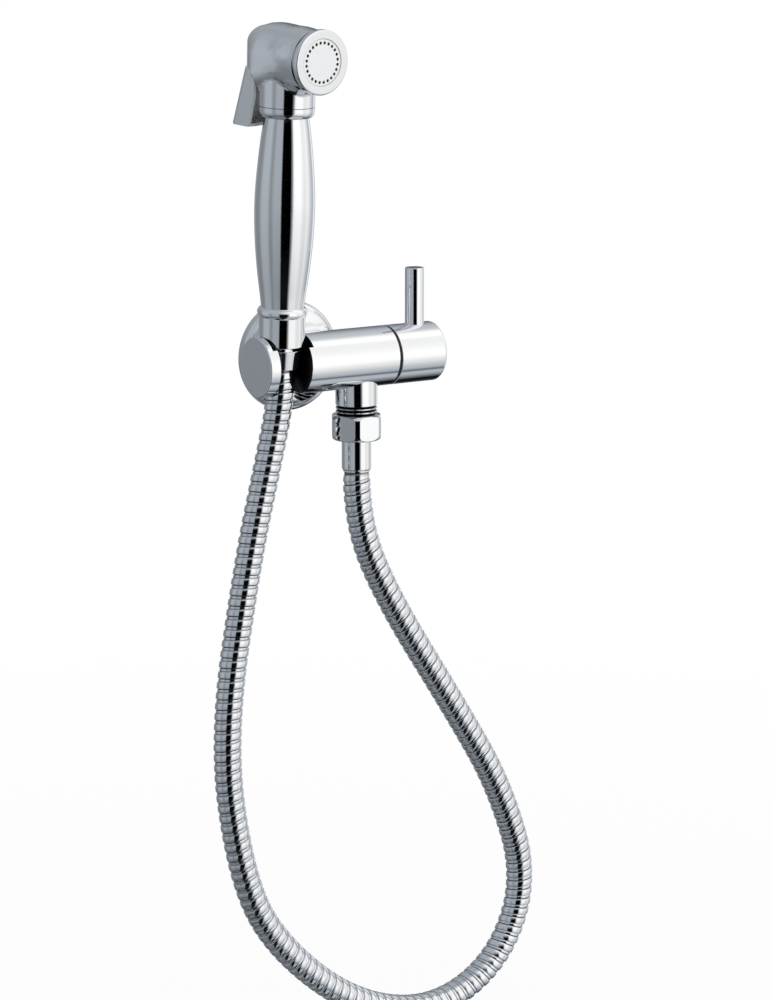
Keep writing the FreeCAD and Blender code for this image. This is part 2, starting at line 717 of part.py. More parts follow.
def web_y(z):
    """Back of the trigger at height z."""
    share = (z - TRIGGER_BOTTOM) / (TRIGGER_TOP - TRIGGER_BOTTOM)
    return WEB_BACK_BOTTOM + share * (WEB_BACK_TOP - WEB_BACK_BOTTOM)


def web_thickness():
    """Thickness of the leaning web along Y."""
    lean = math.atan2(WEB_BACK_BOTTOM - WEB_BACK_TOP, TRIGGER_TOP - TRIGGER_BOTTOM)
    return TRIGGER_WALL / math.cos(lean)


def make_trigger_pocket():
    """Side recesses in which the ears and flanges of the trigger swing."""
    inner = TRIGGER_HALF - TRIGGER_WALL - POCKET_CLEAR
    gap = POCKET_CLEAR
    top = PIVOT_Z + EAR_R + gap
    front = PIVOT_BACK - EAR_R - gap
    low = NECK_RING_TOP - 1
    sides = []
    back = 3 * TRIGGER_HALF
    reach = 1.5 * TRIGGER_HALF
    outline = [(front, low, 0), (front, top, EAR_R + gap), (back, top, 0), (back, low, 0)]
    for side in (-1, 1):
        slab = side_outline(outline, (reach - inner) / 2)
        slab.translate(V(side * (reach + inner) / 2, 0, 0))
        sides.append(slab)
    return sides


def barrel_section(y, half, share):
    """Outline across the barrel: share 0 is a square with round corners, 1 a circle."""
    flat = half - HEAD_CORNER_R
    spread = math.atan(flat / half)
    inward = 1 - 1 / math.sqrt(2)
    reach = half * (1 - share * (1 - math.cos(spread)))
    end = (1 - share) * flat + share * half * math.sin(spread)
    diagonal = half - inward * ((1 - share) * HEAD_CORNER_R + share * half)
    edges = []
    for i in range(4):
        turn = FreeCAD.Rotation(V(0, 1, 0), 90 * i)
        ends = [V(reach, y, end), V(reach, y, -end), V(end, y, -reach)]
        first, second, third = [turn.multVec(p) for p in ends]
        side = turn.multVec(V(half, y, 0))
        corner = turn.multVec(V(diagonal, y, -diagonal))
        if share > 0:
            edges.append(Part.Arc(first, side, second).toShape())
        else:
            edges.append(Part.LineSegment(first, second).toShape())
        edges.append(Part.Arc(second, corner, third).toShape())
    return Part.Wire(edges)


def make_barrel():
    """Barrel about -Y: a rounded block that runs out into a round waist and rim."""
    half = HEAD_BACK_HALF
    block_front = HEAD_BACK - HEAD_CORNER_R
    block = box(-half, half, block_front - half, HEAD_BACK, -half, half)
    block = block.makeFillet(HEAD_CORNER_R, block.Edges)
    block = block.common(box(-half, half, block_front, HEAD_BACK, -half, half))
    sections = []
    steps = 5
    for i in range(steps):
        share = i / (steps - 1)
        ease = share * share * (3 - 2 * share)
        y = block_front - share * (block_front + HEAD_WAIST_Y)
        sections.append(barrel_section(y, half + ease * (HEAD_WAIST_R - half), ease))
    middle = Part.makeLoft(sections, True, False)
    front = forward(turned([(0, HEAD_WAIST_Y), (HEAD_WAIST_R, HEAD_WAIST_Y),
                            (HEAD_WAIST_R + 0.15, RIM_START), (HEAD_RIM_R, HEAD_FRONT, 0.25),
                            (0, HEAD_FRONT)]), 0)
    barrel = block.fuse([middle, front])
    barrel.translate(V(0, 0, HEAD_Z))
    return barrel


def make_head_body():
    neck = rod(NECK_R, NECK_RING_TOP, HEAD_Z)
    body = make_barrel().fuse(neck)
    seams = []
    for edge in body.Edges:
        extent = edge.BoundBox
        if extent.ZMax < HEAD_Z - 2 and extent.ZMin > NECK_RING_TOP + 1 and extent.YMax < NECK_R:
            if abs(extent.XMax - extent.XMin) > 0.5 and touches_neck(edge):
                seams.append(edge)
    body = body.makeFillet(HEAD_BLEND_R, seams)
    spigot = rod(SPIGOT_R, GRIP_BORE_TOP, NECK_RING_TOP + 0.5)
    body = body.fuse(spigot)
    socket = forward(rod(HEAD_SOCKET_R, SOCKET_FLOOR, HEAD_FRONT + 1), HEAD_Z)
    chamber = forward(rod(HEAD_CHAMBER_R, CHAMBER_BACK, HEAD_FRONT), HEAD_Z)
    tube_top = GRIP_BORE_TOP + TUBE_OVERLAP
    tube_socket = rod(TUBE_R + 0.02, GRIP_BORE_TOP - 1, tube_top + PLENUM)
    feed = rod(PORT_R, tube_top, STEM_Z)
    feed.translate(V(0, FEED_Y, 0))
    rise = rod(PORT_R, STEM_Z, HEAD_Z - HEAD_CHAMBER_R + 2 * PORT_R)
    rise.translate(V(0, RISE_Y, 0))
    valve_bore = forward(rod(VALVE_BORE_R, -GLAND_FRONT, -VALVE_BORE_FRONT), STEM_Z)
    gland_bore = forward(rod(GLAND_R + 0.02, -NECK_R - 9, -GLAND_FRONT), STEM_Z)
    spot = forward(rod(GLAND_HEAD_R + 0.2, -NECK_R - 9, -(NECK_R - 2)), STEM_Z)
    pin_hole = pivot_rod(PIVOT_PIN_R + 0.02, 2 * TRIGGER_HALF)
    cuts = [socket, chamber, tube_socket, feed, rise, valve_bore, gland_bore, spot, pin_hole]
    return body.cut(cuts + make_trigger_pocket())


def touches_neck(edge):
    """Whether the whole edge lies on the side of the neck."""
    for p in edge.discretize(5):
        if abs(math.hypot(p.x, p.y) - NECK_R) > 0.01:
            return False
    return True


# Trigger: a deep channel that hangs from its ears behind the neck

def channel_block(half_width, corner, inset, low, high):
    """Bar with two rounded back corners that follows the lean of the web."""
    back = web_y(low) - inset
    front = -2 * TRIGGER_HALF
    face = profile_face([(-half_width, front, 0), (half_width, front, 0),
                         (half_width, back, corner), (-half_width, back, corner)])
    face.rotate(V(0, 0, 0), V(1, 0, 0), -90)
    face.translate(V(0, 0, low))
    return face.extrude(V(0, web_y(high) - web_y(low), high - low))


def make_trigger():
    front = PIVOT_BACK - EAR_R
    step = PIVOT_BACK - 0.9
    top = PIVOT_Z + EAR_R
    back = web_y(TRIGGER_TOP)
    outline = [(back, TRIGGER_TOP, 0.6), (back - 2.2, TRIGGER_TOP, 0.2), (back - 3.0, top, 0.2),
               (front, top, EAR_R * 0.98),
               (front, PIVOT_Z - EAR_R, EAR_R * 0.6), (step, PIVOT_Z - EAR_R, 0.5),
               (step + 0.4, STEM_Z - 1.5, 8), (step + 3.8, TRIGGER_BOTTOM + 2, 1.0),
               (step + 4.6, TRIGGER_BOTTOM, 0.6), (web_y(TRIGGER_BOTTOM), TRIGGER_BOTTOM, 3.0)]
    block = side_outline(outline, TRIGGER_HALF)
    wall = TRIGGER_WALL
    inset = web_thickness()
    above = TRIGGER_TOP + 2 * EAR_R
    outer = channel_block(TRIGGER_HALF, TRIGGER_CORNER_R, 0, TRIGGER_BOTTOM - 1, above)
    hollow = channel_block(TRIGGER_HALF - wall, TRIGGER_CORNER_R - wall, inset,
                           TRIGGER_BOTTOM + wall, above)
    notch = rod(GRIP_WAIST_R + 1.2, TRIGGER_BOTTOM - 1, TRIGGER_BOTTOM + wall + 0.5)
    hole = pivot_rod(PIVOT_PIN_R + RUN_CLEAR, 2 * TRIGGER_HALF)
    return block.common(outer).cut([hollow, notch, hole])


# Valve in the neck: stem, seat, gland and spring, along the front-back line

STEM_TIP_CLEAR = 0.65
STEM_BACK = web_y(STEM_Z) - web_thickness() - STEM_TIP_CLEAR


def make_valve_stem():
    front = -POPPET_FRONT
    stem = turned([(0, front + 2.0), (STEM_R * 0.8, front + 2.0, 0.3), (STEM_R * 0.8, front),
                   (POPPET_R, front, 0.2), (POPPET_R, front - POPPET_THICK),
                   (STEM_R, front - POPPET_THICK), (STEM_R, -STEM_BACK, 1.2), (0, -STEM_BACK)])
    return forward(stem, STEM_Z)


def make_poppet_seal():
    back = -POPPET_FRONT - POPPET_THICK
    return forward(ring(POPPET_R - 0.1, STEM_R, back - POPPET_SEAL + 0.02, back), STEM_Z)


def make_valve_seat():
    front = -SEAT_FRONT
    return forward(ring(VALVE_BORE_R, SEAT_PORT_R, front - SEAT_LENGTH, front), STEM_Z)


def make_valve_gland():
    inner = -GLAND_FRONT
    outer = -NECK_R
    bore = STEM_R + RUN_CLEAR
    head = outer - GLAND_HEAD + 2
    oring = inner - 1.2
    depth = 1.2
    gland = turned([(bore, inner), (GLAND_R, inner), (GLAND_R, outer + 2),
                    (GLAND_HEAD_R, outer + 2), (GLAND_HEAD_R, head, 0.3), (bore, head),
                    (bore, oring - 1.8), (bore + depth, oring - 1.8), (bore + depth, oring),
                    (bore, oring)])
    return forward(gland, STEM_Z)


def make_stem_o_ring():
    centre = -GLAND_FRONT - 1.2 - 0.9
    minor = 0.58
    return forward(torus(STEM_R + RUN_CLEAR + minor, minor, centre), STEM_Z)


def make_valve_spring():
    """Coil whose wire follows three tangent arcs to a turn."""
    front = -VALVE_BORE_FRONT - SPRING_WIRE_R - 0.02
    back = -POPPET_FRONT + SPRING_WIRE_R + 0.02
    count = 3 * SPRING_TURNS
    coil = []
    for i in range(2 * count + 1):
        angle = math.pi * i / 3
        height = back + (front - back) * i / (2 * count)
        coil.append(V(SPRING_R * math.cos(angle), SPRING_R * math.sin(angle), height))
    arcs = []
    for i in range(count):
        arcs.append(Part.Arc(coil[2 * i], coil[2 * i + 1], coil[2 * i + 2]).toShape())
    heading = arcs[0].tangentAt(arcs[0].FirstParameter)
    section = Part.Wire(Part.makeCircle(SPRING_WIRE_R, coil[0], heading))
    return forward(Part.Wire(arcs).makePipeShell([section], True, False), STEM_Z)


# Spray end: bezel, face and gasket in the mouth of the barrel

BEZEL_BACK = HEAD_FRONT + GROOVE_WIDTH
BEZEL_FRONT = BEZEL_BACK + BEZEL_WIDTH


def make_spray_bezel():
    root = SOCKET_FLOOR + GASKET_THICK + 1.0
    outer = HEAD_SOCKET_R - THREAD_CLEAR
    inner = FACE_RIM_R + 0.1
    hole = FACE_R + 0.05
    ledge = BEZEL_FRONT - BEZEL_LIP
    bezel = turned([(inner, root), (outer, root, 0.2), (outer, BEZEL_BACK),
                    (BEZEL_R, BEZEL_BACK, 0.5), (BEZEL_R, BEZEL_FRONT, 0.9),
                    (hole, BEZEL_FRONT, 0.25), (hole, ledge), (inner, ledge)])
    return forward(bezel, HEAD_Z)


def make_spray_face():
    front = BEZEL_FRONT - 0.25
    ledge = BEZEL_FRONT - BEZEL_LIP
    back = ledge - FACE_STEP
    plate = turned([(0, back), (FACE_RIM_R, back), (FACE_RIM_R, ledge), (FACE_R, ledge),
                    (FACE_R, front, 0.3), (0, front)])
    holes = []
    for i in range(HOLE_COUNT):
        angle = 2 * math.pi * (i + 0.5) / HOLE_COUNT
        x = HOLE_CIRCLE_R * math.cos(angle)
        y = HOLE_CIRCLE_R * math.sin(angle)
        holes.append(Part.makeCylinder(HOLE_R, BEZEL_LIP + FACE_STEP + 2, V(x, y, back - 1)))
    return forward(plate.cut(holes), HEAD_Z)


def make_spray_gasket():
    face_back = BEZEL_FRONT - BEZEL_LIP - FACE_STEP
    return forward(ring(FACE_RIM_R - 0.1, HEAD_CHAMBER_R + 0.6, SOCKET_FLOOR, face_back), HEAD_Z)


def main():
    os.makedirs("parts", exist_ok=True)
    nodes = {
        "wall_flange": make_wall_flange(),
        "valve_body": make_valve_body(),
        "cartridge_seal": along_x(ring(DISC_R, CHAMBER_R - 1, CAVITY_LEFT, SEAL_RIGHT)),
        "fixed_ceramic_disc": disc_with_ports(SEAL_RIGHT, FIXED_RIGHT, 0),
        "moving_ceramic_disc": disc_with_ports(FIXED_RIGHT, MOVING_RIGHT, 90),
        "cartridge_housing": make_cartridge_housing(),
        "cartridge_spindle": make_cartridge_spindle(),
        "spindle_o_ring": along_x(torus(SPINDLE_R - ORING_WIRE_R, ORING_WIRE_R, ORING_X)),
        "spindle_circlip": make_circlip(),
        "slip_ring": along_x(ring(RING_R, HOUSING_FLANGE_R + 0.05, BODY_RIGHT, RING_RIGHT, 0.15)),
        "knob": make_knob(),
        "lever_pin": make_lever_pin(),
        "knob_grub_screw": make_grub_screw(),
        "hose_nut": make_hose_nut(),
        "hose_nut_washer": on_outlet(ring(WASHER_R, INSERT_BORE_R + 1.4,
                                          OUTLET_BOTTOM - WASHER_THICK, OUTLET_BOTTOM)),
        "valve_end_insert": on_outlet(hose_insert(OUTLET_BOTTOM - WASHER_THICK, FERRULE_BOTTOM)),
        "valve_end_ferrule": make_valve_end_ferrule(),
        "hose": make_hose(),
        "cone_ferrule": handset(make_cone_ferrule()),
        "handset_insert": handset(hose_insert(HANDSET_FLANGE_TOP, CONE_BOTTOM)),
        "handset_washer": handset(ring(WASHER_R, INSERT_BORE_R + 1.4, HANDSET_FLANGE_TOP,
                                       CONNECTOR_BOTTOM)),
        "handset_hose_nut": handset(make_handset_hose_nut()),
        "handset_connector": handset(make_handset_connector()),
        "grip": handset(make_grip()),
        "water_tube": handset(make_water_tube()),
        "tube_o_rings": handset(make_tube_o_rings()),
        "neck_ring": handset(make_neck_ring()),
        "head_body": handset(make_head_body()),
        "valve_seat": handset(make_valve_seat()),
        "valve_gland": handset(make_valve_gland()),
        "stem_o_ring": handset(make_stem_o_ring()),
        "valve_stem": handset(make_valve_stem()),
        "poppet_seal": handset(make_poppet_seal()),
        "valve_spring": handset(make_valve_spring()),
        "trigger": handset(make_trigger()),
        "trigger_pin": handset(pivot_rod(PIVOT_PIN_R, TRIGGER_HALF - PIN_INSET)),
        "spray_bezel": handset(make_spray_bezel()),
        "spray_face": handset(make_spray_face()),
        "spray_gasket": handset(make_spray_gasket()),
    }
    for name, shape in nodes.items():
        shape.exportStep("parts/" + name + ".step")
        print(name, len(shape.Solids), shape.isValid(), round(shape.Volume, 1))


main()
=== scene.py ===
"""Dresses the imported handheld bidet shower: its hose, finishes, nozzle tips and studio."""

import math

import bmesh
import bpy
import numpy as np
from bpy.props import FloatProperty, FloatVectorProperty, IntProperty, PointerProperty
from mathutils import Matrix, Vector


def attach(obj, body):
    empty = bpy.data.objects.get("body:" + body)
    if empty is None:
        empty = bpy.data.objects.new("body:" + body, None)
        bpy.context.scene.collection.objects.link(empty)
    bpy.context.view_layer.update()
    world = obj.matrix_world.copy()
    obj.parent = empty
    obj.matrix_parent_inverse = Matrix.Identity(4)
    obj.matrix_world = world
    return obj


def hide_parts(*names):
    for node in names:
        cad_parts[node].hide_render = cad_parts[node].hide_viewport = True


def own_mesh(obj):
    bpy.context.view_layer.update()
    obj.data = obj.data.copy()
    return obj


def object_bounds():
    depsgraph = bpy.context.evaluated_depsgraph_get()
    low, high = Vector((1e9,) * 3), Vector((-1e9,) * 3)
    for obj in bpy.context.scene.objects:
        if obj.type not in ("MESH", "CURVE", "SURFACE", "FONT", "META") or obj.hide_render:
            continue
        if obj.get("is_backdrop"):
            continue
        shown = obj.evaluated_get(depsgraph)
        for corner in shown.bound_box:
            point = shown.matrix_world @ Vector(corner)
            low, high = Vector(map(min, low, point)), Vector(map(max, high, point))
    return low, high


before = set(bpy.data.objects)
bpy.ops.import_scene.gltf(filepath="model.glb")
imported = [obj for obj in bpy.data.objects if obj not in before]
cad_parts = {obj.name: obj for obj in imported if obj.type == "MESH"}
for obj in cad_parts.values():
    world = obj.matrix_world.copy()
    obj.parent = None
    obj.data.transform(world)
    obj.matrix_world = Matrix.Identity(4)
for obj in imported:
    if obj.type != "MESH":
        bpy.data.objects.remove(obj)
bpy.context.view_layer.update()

bl_info = {
    "name": "Handheld Bidet Shower",
    "version": (1, 0, 0),
    "blender": (4, 5, 0),
    "location": "View3D > Sidebar > Bidet Shower",
    "description": "Hose, finishes, spray nozzles and studio for a handheld bidet shower",
    "category": "Object",
}

# Centre line of the hose, from the cone ferrule down, round and up into the valve's nut
HOSE_ROUTE = [
    (-0.0198, -0.027937, -0.001198), (-0.0198, -0.027042, -0.018275),
    (-0.0264, -0.0264, -0.0472), (-0.0391, -0.0266, -0.0970), (-0.0547, -0.0272, -0.1844),
    (-0.0461, -0.0277, -0.2521), (-0.0286, -0.0281, -0.2935), (0.0182, -0.0286, -0.3363),
    (0.0696, -0.0289, -0.3512), (0.1124, -0.0287, -0.3313), (0.1307, -0.0284, -0.2877),
    (0.1130, -0.0281, -0.2348), (0.0861, -0.0280, -0.1907), (0.0428, -0.0280, -0.1251),
    (0.0242, -0.0280, -0.0835), (0.0242, -0.0280, -0.0572),
]

# One turn of the interlocked strip: share of the pitch, and share of the full depth
STRIP_PROFILE = [
    (0.000, 0.85), (0.012, 0.42), (0.045, 0.12), (0.110, 0.00), (0.330, 0.00),
    (0.550, 0.00), (0.610, 0.12), (0.642, 0.42), (0.652, 1.00), (0.690, 1.00),
    (0.730, 0.62), (0.840, 0.55), (0.950, 0.62),
]
STEPS_ROUND_HOSE = 26
# Painted shade in the hose's grooves: share of the full depth from which it sets in, and how fast
# it darkens
GROOVE_SHADE_FROM = 0.55
GROOVE_SHADE_GAIN = 2.0

CHROME_NODES = [
    "wall_flange", "knob", "lever_pin", "hose_nut", "valve_end_ferrule", "cone_ferrule",
    "handset_hose_nut", "handset_connector", "grip", "spray_bezel",
]
SEAL_NODES = [
    "cartridge_seal", "spindle_o_ring", "hose_nut_washer", "handset_washer",
    "tube_o_rings", "stem_o_ring", "poppet_seal", "spray_gasket",
]
BRASS_NODES = [
    "cartridge_housing", "cartridge_spindle", "valve_end_insert", "handset_insert",
    "valve_seat", "valve_gland", "valve_stem",
]
CERAMIC_NODES = ["fixed_ceramic_disc", "moving_ceramic_disc"]
STEEL_NODES = ["spindle_circlip", "knob_grub_screw", "valve_spring", "trigger_pin"]

# What the chrome mirrors: degrees to the right of the photograph's side, and level
ROOM_ROUND = [
    (-180, 0.12), (-164, 0.30), (-148, 0.30), (-135, 0.23), (-122, 0.23), (-113, 0.25),
    (-105, 0.30), (-98, 0.41), (-70, 0.43), (-62, 0.34), (-54, 0.25), (-45, 0.33),
    (-38, 0.385), (-15, 0.37), (-10, 0.0), (24, 0.0), (31, 0.30), (37, 0.92), (45, 1.0),
    (66, 1.0), (73, 0.88), (81, 0.80), (90, 0.81), (101, 0.89), (114, 0.66), (129, 0.49),
    (138, 0.46), (147, 0.85), (158, 0.85), (164, 0.36), (172, 0.12), (180, 0.12),
]
# The same well above the level of the eye
ROOM_HIGH = [
    (-180, 0.37), (-135, 0.33), (-90, 0.40), (-20, 0.42), (0, 0.55), (30, 0.85),
    (60, 0.92), (78, 0.86), (86, 0.86), (94, 0.97), (106, 1.05), (123, 0.92),
    (139, 0.61), (152, 0.53), (162, 0.49), (171, 0.42), (180, 0.37),
]
# And well below it
ROOM_LOW = [
    (-180, 0.30), (-120, 0.34), (-60, 0.40), (-16, 0.34), (-10, 0.02), (24, 0.02),
    (34, 0.85), (60, 1.0), (109, 1.0), (125, 0.62), (140, 0.30), (152, 0.05), (171, 0.0),
    (176, 0.20), (180, 0.30),
]
# Share of the level that is left below the horizon, by degrees of fall
ROOM_FALL = [
    (0, 1.10), (9, 1.05), (17, 0.92), (26, 0.80), (34, 0.62), (41, 0.50), (45, 0.40),
    (48, 0.17), (50, 0.20), (53, 0.50), (60, 0.52), (90, 0.45),
]
# How the high level, the low level and the roof come in, by share of the way up or down
HIGH_BLEND = [(0.0, 0.0), (0.10, 0.0), (0.45, 1.0), (1.0, 1.0)]
LOW_BLEND = [(0.0, 0.0), (0.22, 0.0), (0.45, 1.0), (1.0, 1.0)]
ROOF_BLEND = [(0.0, 0.0), (0.66, 0.0), (0.80, 1.0), (1.0, 1.0)]
ROOF_LEVEL = 0.42
ROOM_GAIN = 1.05
# Mirrored greys are cool. They pale to white from this level on, this fast
COOL_GREY = (0.90, 0.985, 1.08)
PALE_FROM = 0.5
PALE_GAIN = 3.0
WHITE = (1, 1, 1)

# The photograph's camera stands to the left of the front, and looks slightly down
PHOTO_TURN = math.radians(33.26)
PHOTO_TILT = math.radians(78.89)
PHOTO_PLACE = (-0.903779, -1.469433, 0.264275)
PHOTO_LENS = 125.03
LAMP_PLACE = (-0.4, -1.2, 1.5)
LAMP_AIM = (0.03, 0, -0.05)
LAMP_SIZE = 1.2
# The floor is round, and white towards its edge: share of its size, and of the white
FLOOR_SIDES = 96
FLOOR_WHITE_AT = 0.9
FLOOR_WHITE_MIDDLE = 0.8

# Painted shade: dark metal in the valve body's slot and thread, the hose's grooves and the neck's
# seam
PAINTED_SHADE_METAL = (0.022, 0.023, 0.026)
# Painted light: the paler grey painted on the inside of the trigger's channel
TRIGGER_PAINTED_GREY = (0.6, 0.62, 0.64)

# The valve's axis runs along X at this depth, and the holder's slot crosses it here
VALVE_AXIS_Y = -0.028
SLOT_X = -0.0198
# The handset stands in its holder with this turn and tilt
HANDSET_TILT = math.radians(3)
HANDSET_TURN = math.radians(6)
HANDSET = (Matrix.Translation((SLOT_X, VALVE_AXIS_Y, 0))
           @ Matrix.Rotation(HANDSET_TILT, 4, "X") @ Matrix.Rotation(HANDSET_TURN, 4, "Z"))
# Along the handset: the seam under the head with half the width of the painted shade line on it,
# and the barrel's axis
NECK_SEAM = 0.1278
SEAM_SHADE_HALF = 0.00014
HEAD_HEIGHT = 0.1515
# The spray face stands this far in front of the handset's axis
FACE_FRONT = 0.02675
# Faces of the trigger whose normal points further forwards than this are its inside
INWARD_LIMIT = -0.6

# Head casting: radius of the barrel, and how much the back reaches beyond it
BARREL_RADIUS = 0.0149
BACK_GROWTH = 0.0015
# Start and width of the stretch over which the back, the top and the skin set in
BACK_RANGE = (-0.012, 0.018)
TOP_RANGE = (-0.002, 0.008)
SKIN_RANGE = (0.0131, 0.001)
# Place and spread of the fill on the barrel's waist
WAIST_PLACE = -0.011
WAIST_SPREAD = 0.0065

# One soft tip: reach and depth in shares of its radius
TIP_PROFILE = [
    (0.0, -1.6), (1.0, -1.6), (1.0, -0.15), (0.85, 0.0), (0.62, -0.05), (0.45, -0.7),
    (0.0, -0.75),
]
TIP_SIDES = 16

WELD_DISTANCE = 1e-7
SHARP_ANGLE = 0.6


def colour_property(name, description, default):
    return FloatVectorProperty(name=name, description=description, subtype="COLOR", size=3,
                               default=default, min=0.0, max=1.0)


class HoseSizes(bpy.types.PropertyGroup):
    """Sizes of the interlocked metal hose"""

    diameter: FloatProperty(
        name="Diameter", description="Outside diameter of the hose",
        default=0.014, min=0.008, max=0.03, unit="LENGTH", precision=4)
    pitch: FloatProperty(
        name="Pitch", description="Length of one turn of the strip",
        default=0.0052, min=0.002, max=0.02, unit="LENGTH", precision=4)
    groove: FloatProperty(
        name="Groove", description="Depth of the groove between two turns",
        default=0.0009, min=0.0002, max=0.003, unit="LENGTH", precision=4)
    length: FloatProperty(
        name="Length", description="Length of the hose between its two ends",
        default=0.7609, min=0.3, max=3.0, unit="LENGTH", precision=4)


class HeadShape(bpy.types.PropertyGroup):
    """Shape of the head casting"""

    rounding: FloatProperty(
        name="Corner Rounding", description="How far the upper corners are rounded off",
        subtype="FACTOR", default=0.7, min=0.0, max=1.0)
    waist: FloatProperty(
        name="Waist Fill", description="How far the top of the barrel's waist is filled",
        default=0.0009, min=0.0, max=0.003, unit="LENGTH", precision=5)
    fall: FloatProperty(
        name="Back Fall", description="Slope of the top towards the back",
        default=0.05, min=0.0, max=0.3)


class NozzleSizes(bpy.types.PropertyGroup):
    """Sizes of the soft tips in the spray face"""

    count: IntProperty(
        name="Count", description="Number of spray holes", default=24, min=3, max=60)
    circle: FloatProperty(
        name="Circle Radius", description="Radius of the ring of holes",
        default=0.00945, min=0.002, max=0.03, unit="LENGTH", precision=5)
    radius: FloatProperty(
        name="Tip Radius", description="Outside radius of one tip",
        default=0.00077, min=0.0003, max=0.002, unit="LENGTH", precision=5)
    recess: FloatProperty(
        name="Recess", description="How far a tip lies behind the face",
        default=0.0003, min=0.0, max=0.002, unit="LENGTH", precision=5)


class FinishColours(bpy.types.PropertyGroup):
    """Colours and gloss of the finishes"""

    chrome: colour_property(
        "Chrome", "Colour of the polished chrome", (0.90, 0.905, 0.91))
    chrome_gloss: FloatProperty(
        name="Chrome Roughness", description="Roughness of the polished chrome",
        subtype="FACTOR", default=0.03, min=0.0, max=1.0)
    hose: colour_property(
        "Hose", "Colour of the hose's strip", (0.86, 0.87, 0.885))
    plastic: colour_property(
        "Black Plastic", "Colour of the slip ring", (0.012, 0.012, 0.013))
    rubber: colour_property(
        "Rubber", "Colour of the seals and the nozzle tips", (0.010, 0.010, 0.011))
    brass: colour_property(
        "Brass", "Colour of the turned brass", (0.78, 0.60, 0.30))
    ceramic: colour_property(
        "Ceramic", "Colour of the two ceramic discs", (0.85, 0.84, 0.80))
    steel: colour_property(
        "Steel", "Colour of the spring, pin and screw", (0.62, 0.62, 0.63))
    tube: colour_property(
        "Tube", "Colour of the plastic water tube", (0.85, 0.85, 0.83))


class StudioLevels(bpy.types.PropertyGroup):
    """Floor and light of the studio"""

    floor_drop: FloatProperty(
        name="Floor Drop", description="How far the floor lies under the object",
        default=0.012, min=0.001, max=1.0, unit="LENGTH", precision=4)
    floor_size: FloatProperty(
        name="Floor Size", description="Radius of the round floor",
        default=1.1, min=0.5, max=10.0, unit="LENGTH")
    floor: colour_property(
        "Floor", "Colour of the floor", (0.86, 0.86, 0.86))
    room: FloatProperty(
        name="Room Light", description="Level of the plain light from all round",
        default=0.9, min=0.0, max=2.0)
    lamp: FloatProperty(
        name="Lamp", description="Power of the soft lamp",
        subtype="POWER", default=6.0, min=0.0, max=200.0)


class NodeBench:
    """Places shader nodes in a tree and joins them"""

    def __init__(self, tree):
        self.tree = tree
        self.nodes = tree.nodes
        self.column = 0

    def add(self, kind, **settings):
        node = self.nodes.new(kind)
        node.location = (self.column * 190, 0)
        self.column += 1
        for name, value in settings.items():
            setattr(node, name, value)
        return node

    def join(self, source, target):
        self.tree.links.new(source, target)

    def place(self, output="Object"):
        """X, Y and Z of the place, or of another output of the coordinates"""
        coordinates = self.add("ShaderNodeTexCoord")
        split = self.add("ShaderNodeSeparateXYZ")
        self.join(coordinates.outputs[output], split.inputs[0])
        return [split.outputs[axis] for axis in "XYZ"]

    def maths(self, operation, first, second=None, clamp=False):
        node = self.add("ShaderNodeMath", operation=operation, use_clamp=clamp)
        for socket, value in zip(node.inputs, (first, second)):
            if isinstance(value, bpy.types.NodeSocket):
                self.join(value, socket)
            elif value is not None:
                socket.default_value = value
        return node.outputs[0]

    def product(self, *values):
        found = values[0]
        for value in values[1:]:
            found = self.maths("MULTIPLY", found, value)
        return found

    def apart(self, first, second):
        return self.maths("ABSOLUTE", self.maths("SUBTRACT", first, second))

    def reach(self, first, second):
        """Distance from an axis, from the two distances across it"""
        squares = self.maths("ADD", self.product(first, first), self.product(second, second))
        return self.maths("SQRT", squares)

    def blend(self, factor, first, second):
        node = self.add("ShaderNodeMix", data_type="FLOAT")
        for socket, value in zip(node.inputs[:1] + node.inputs[2:4], (factor, first, second)):
            if isinstance(value, bpy.types.NodeSocket):
                self.join(value, socket)
            else:
                socket.default_value = value
        return node.outputs[0]

    def tint(self, factor, first, second):
        node = self.add("ShaderNodeMix", data_type="RGBA")
        for label, value in (("Factor", factor), (6, first), (7, second)):
            if isinstance(value, bpy.types.NodeSocket):
                self.join(value, node.inputs[label])
            else:
                node.inputs[label].default_value = (*value, 1)
        return node.outputs[2]

    def either(self, factor, first, second):
        """The first shader where the factor is 0, and the second where it is 1"""
        node = self.add("ShaderNodeMixShader")
        for socket, source in zip(node.inputs, (factor, first, second)):
            self.join(source, socket)
        return node.outputs[0]

    def ramp(self, factor, stops):
        node = self.add("ShaderNodeValToRGB")
        self.join(factor, node.inputs[0])
        steps = node.color_ramp.elements
        while len(steps) < len(stops):
            steps.new(1.0)
        for step, (place, grey) in zip(steps, stops):
            step.position = place
            step.color = (grey, grey, grey, 1.0)
        return node.outputs["Color"]


def new_group(name, inputs, outputs):
    """An empty shader node group with named sockets"""
    tree = bpy.data.node_groups.new(name, "ShaderNodeTree")
    for label, kind, value in inputs:
        socket = tree.interface.new_socket(name=label, in_out="INPUT", socket_type=kind)
        socket.default_value = value
    for label, kind in outputs:
        tree.interface.new_socket(name=label, in_out="OUTPUT", socket_type=kind)
    bench = NodeBench(tree)
    return bench, bench.add("NodeGroupInput"), bench.add("NodeGroupOutput")


def shared_group(name, build):
    """The node group with this name, built the first time that it is asked for"""
    return bpy.data.node_groups.get(name) or build(name)


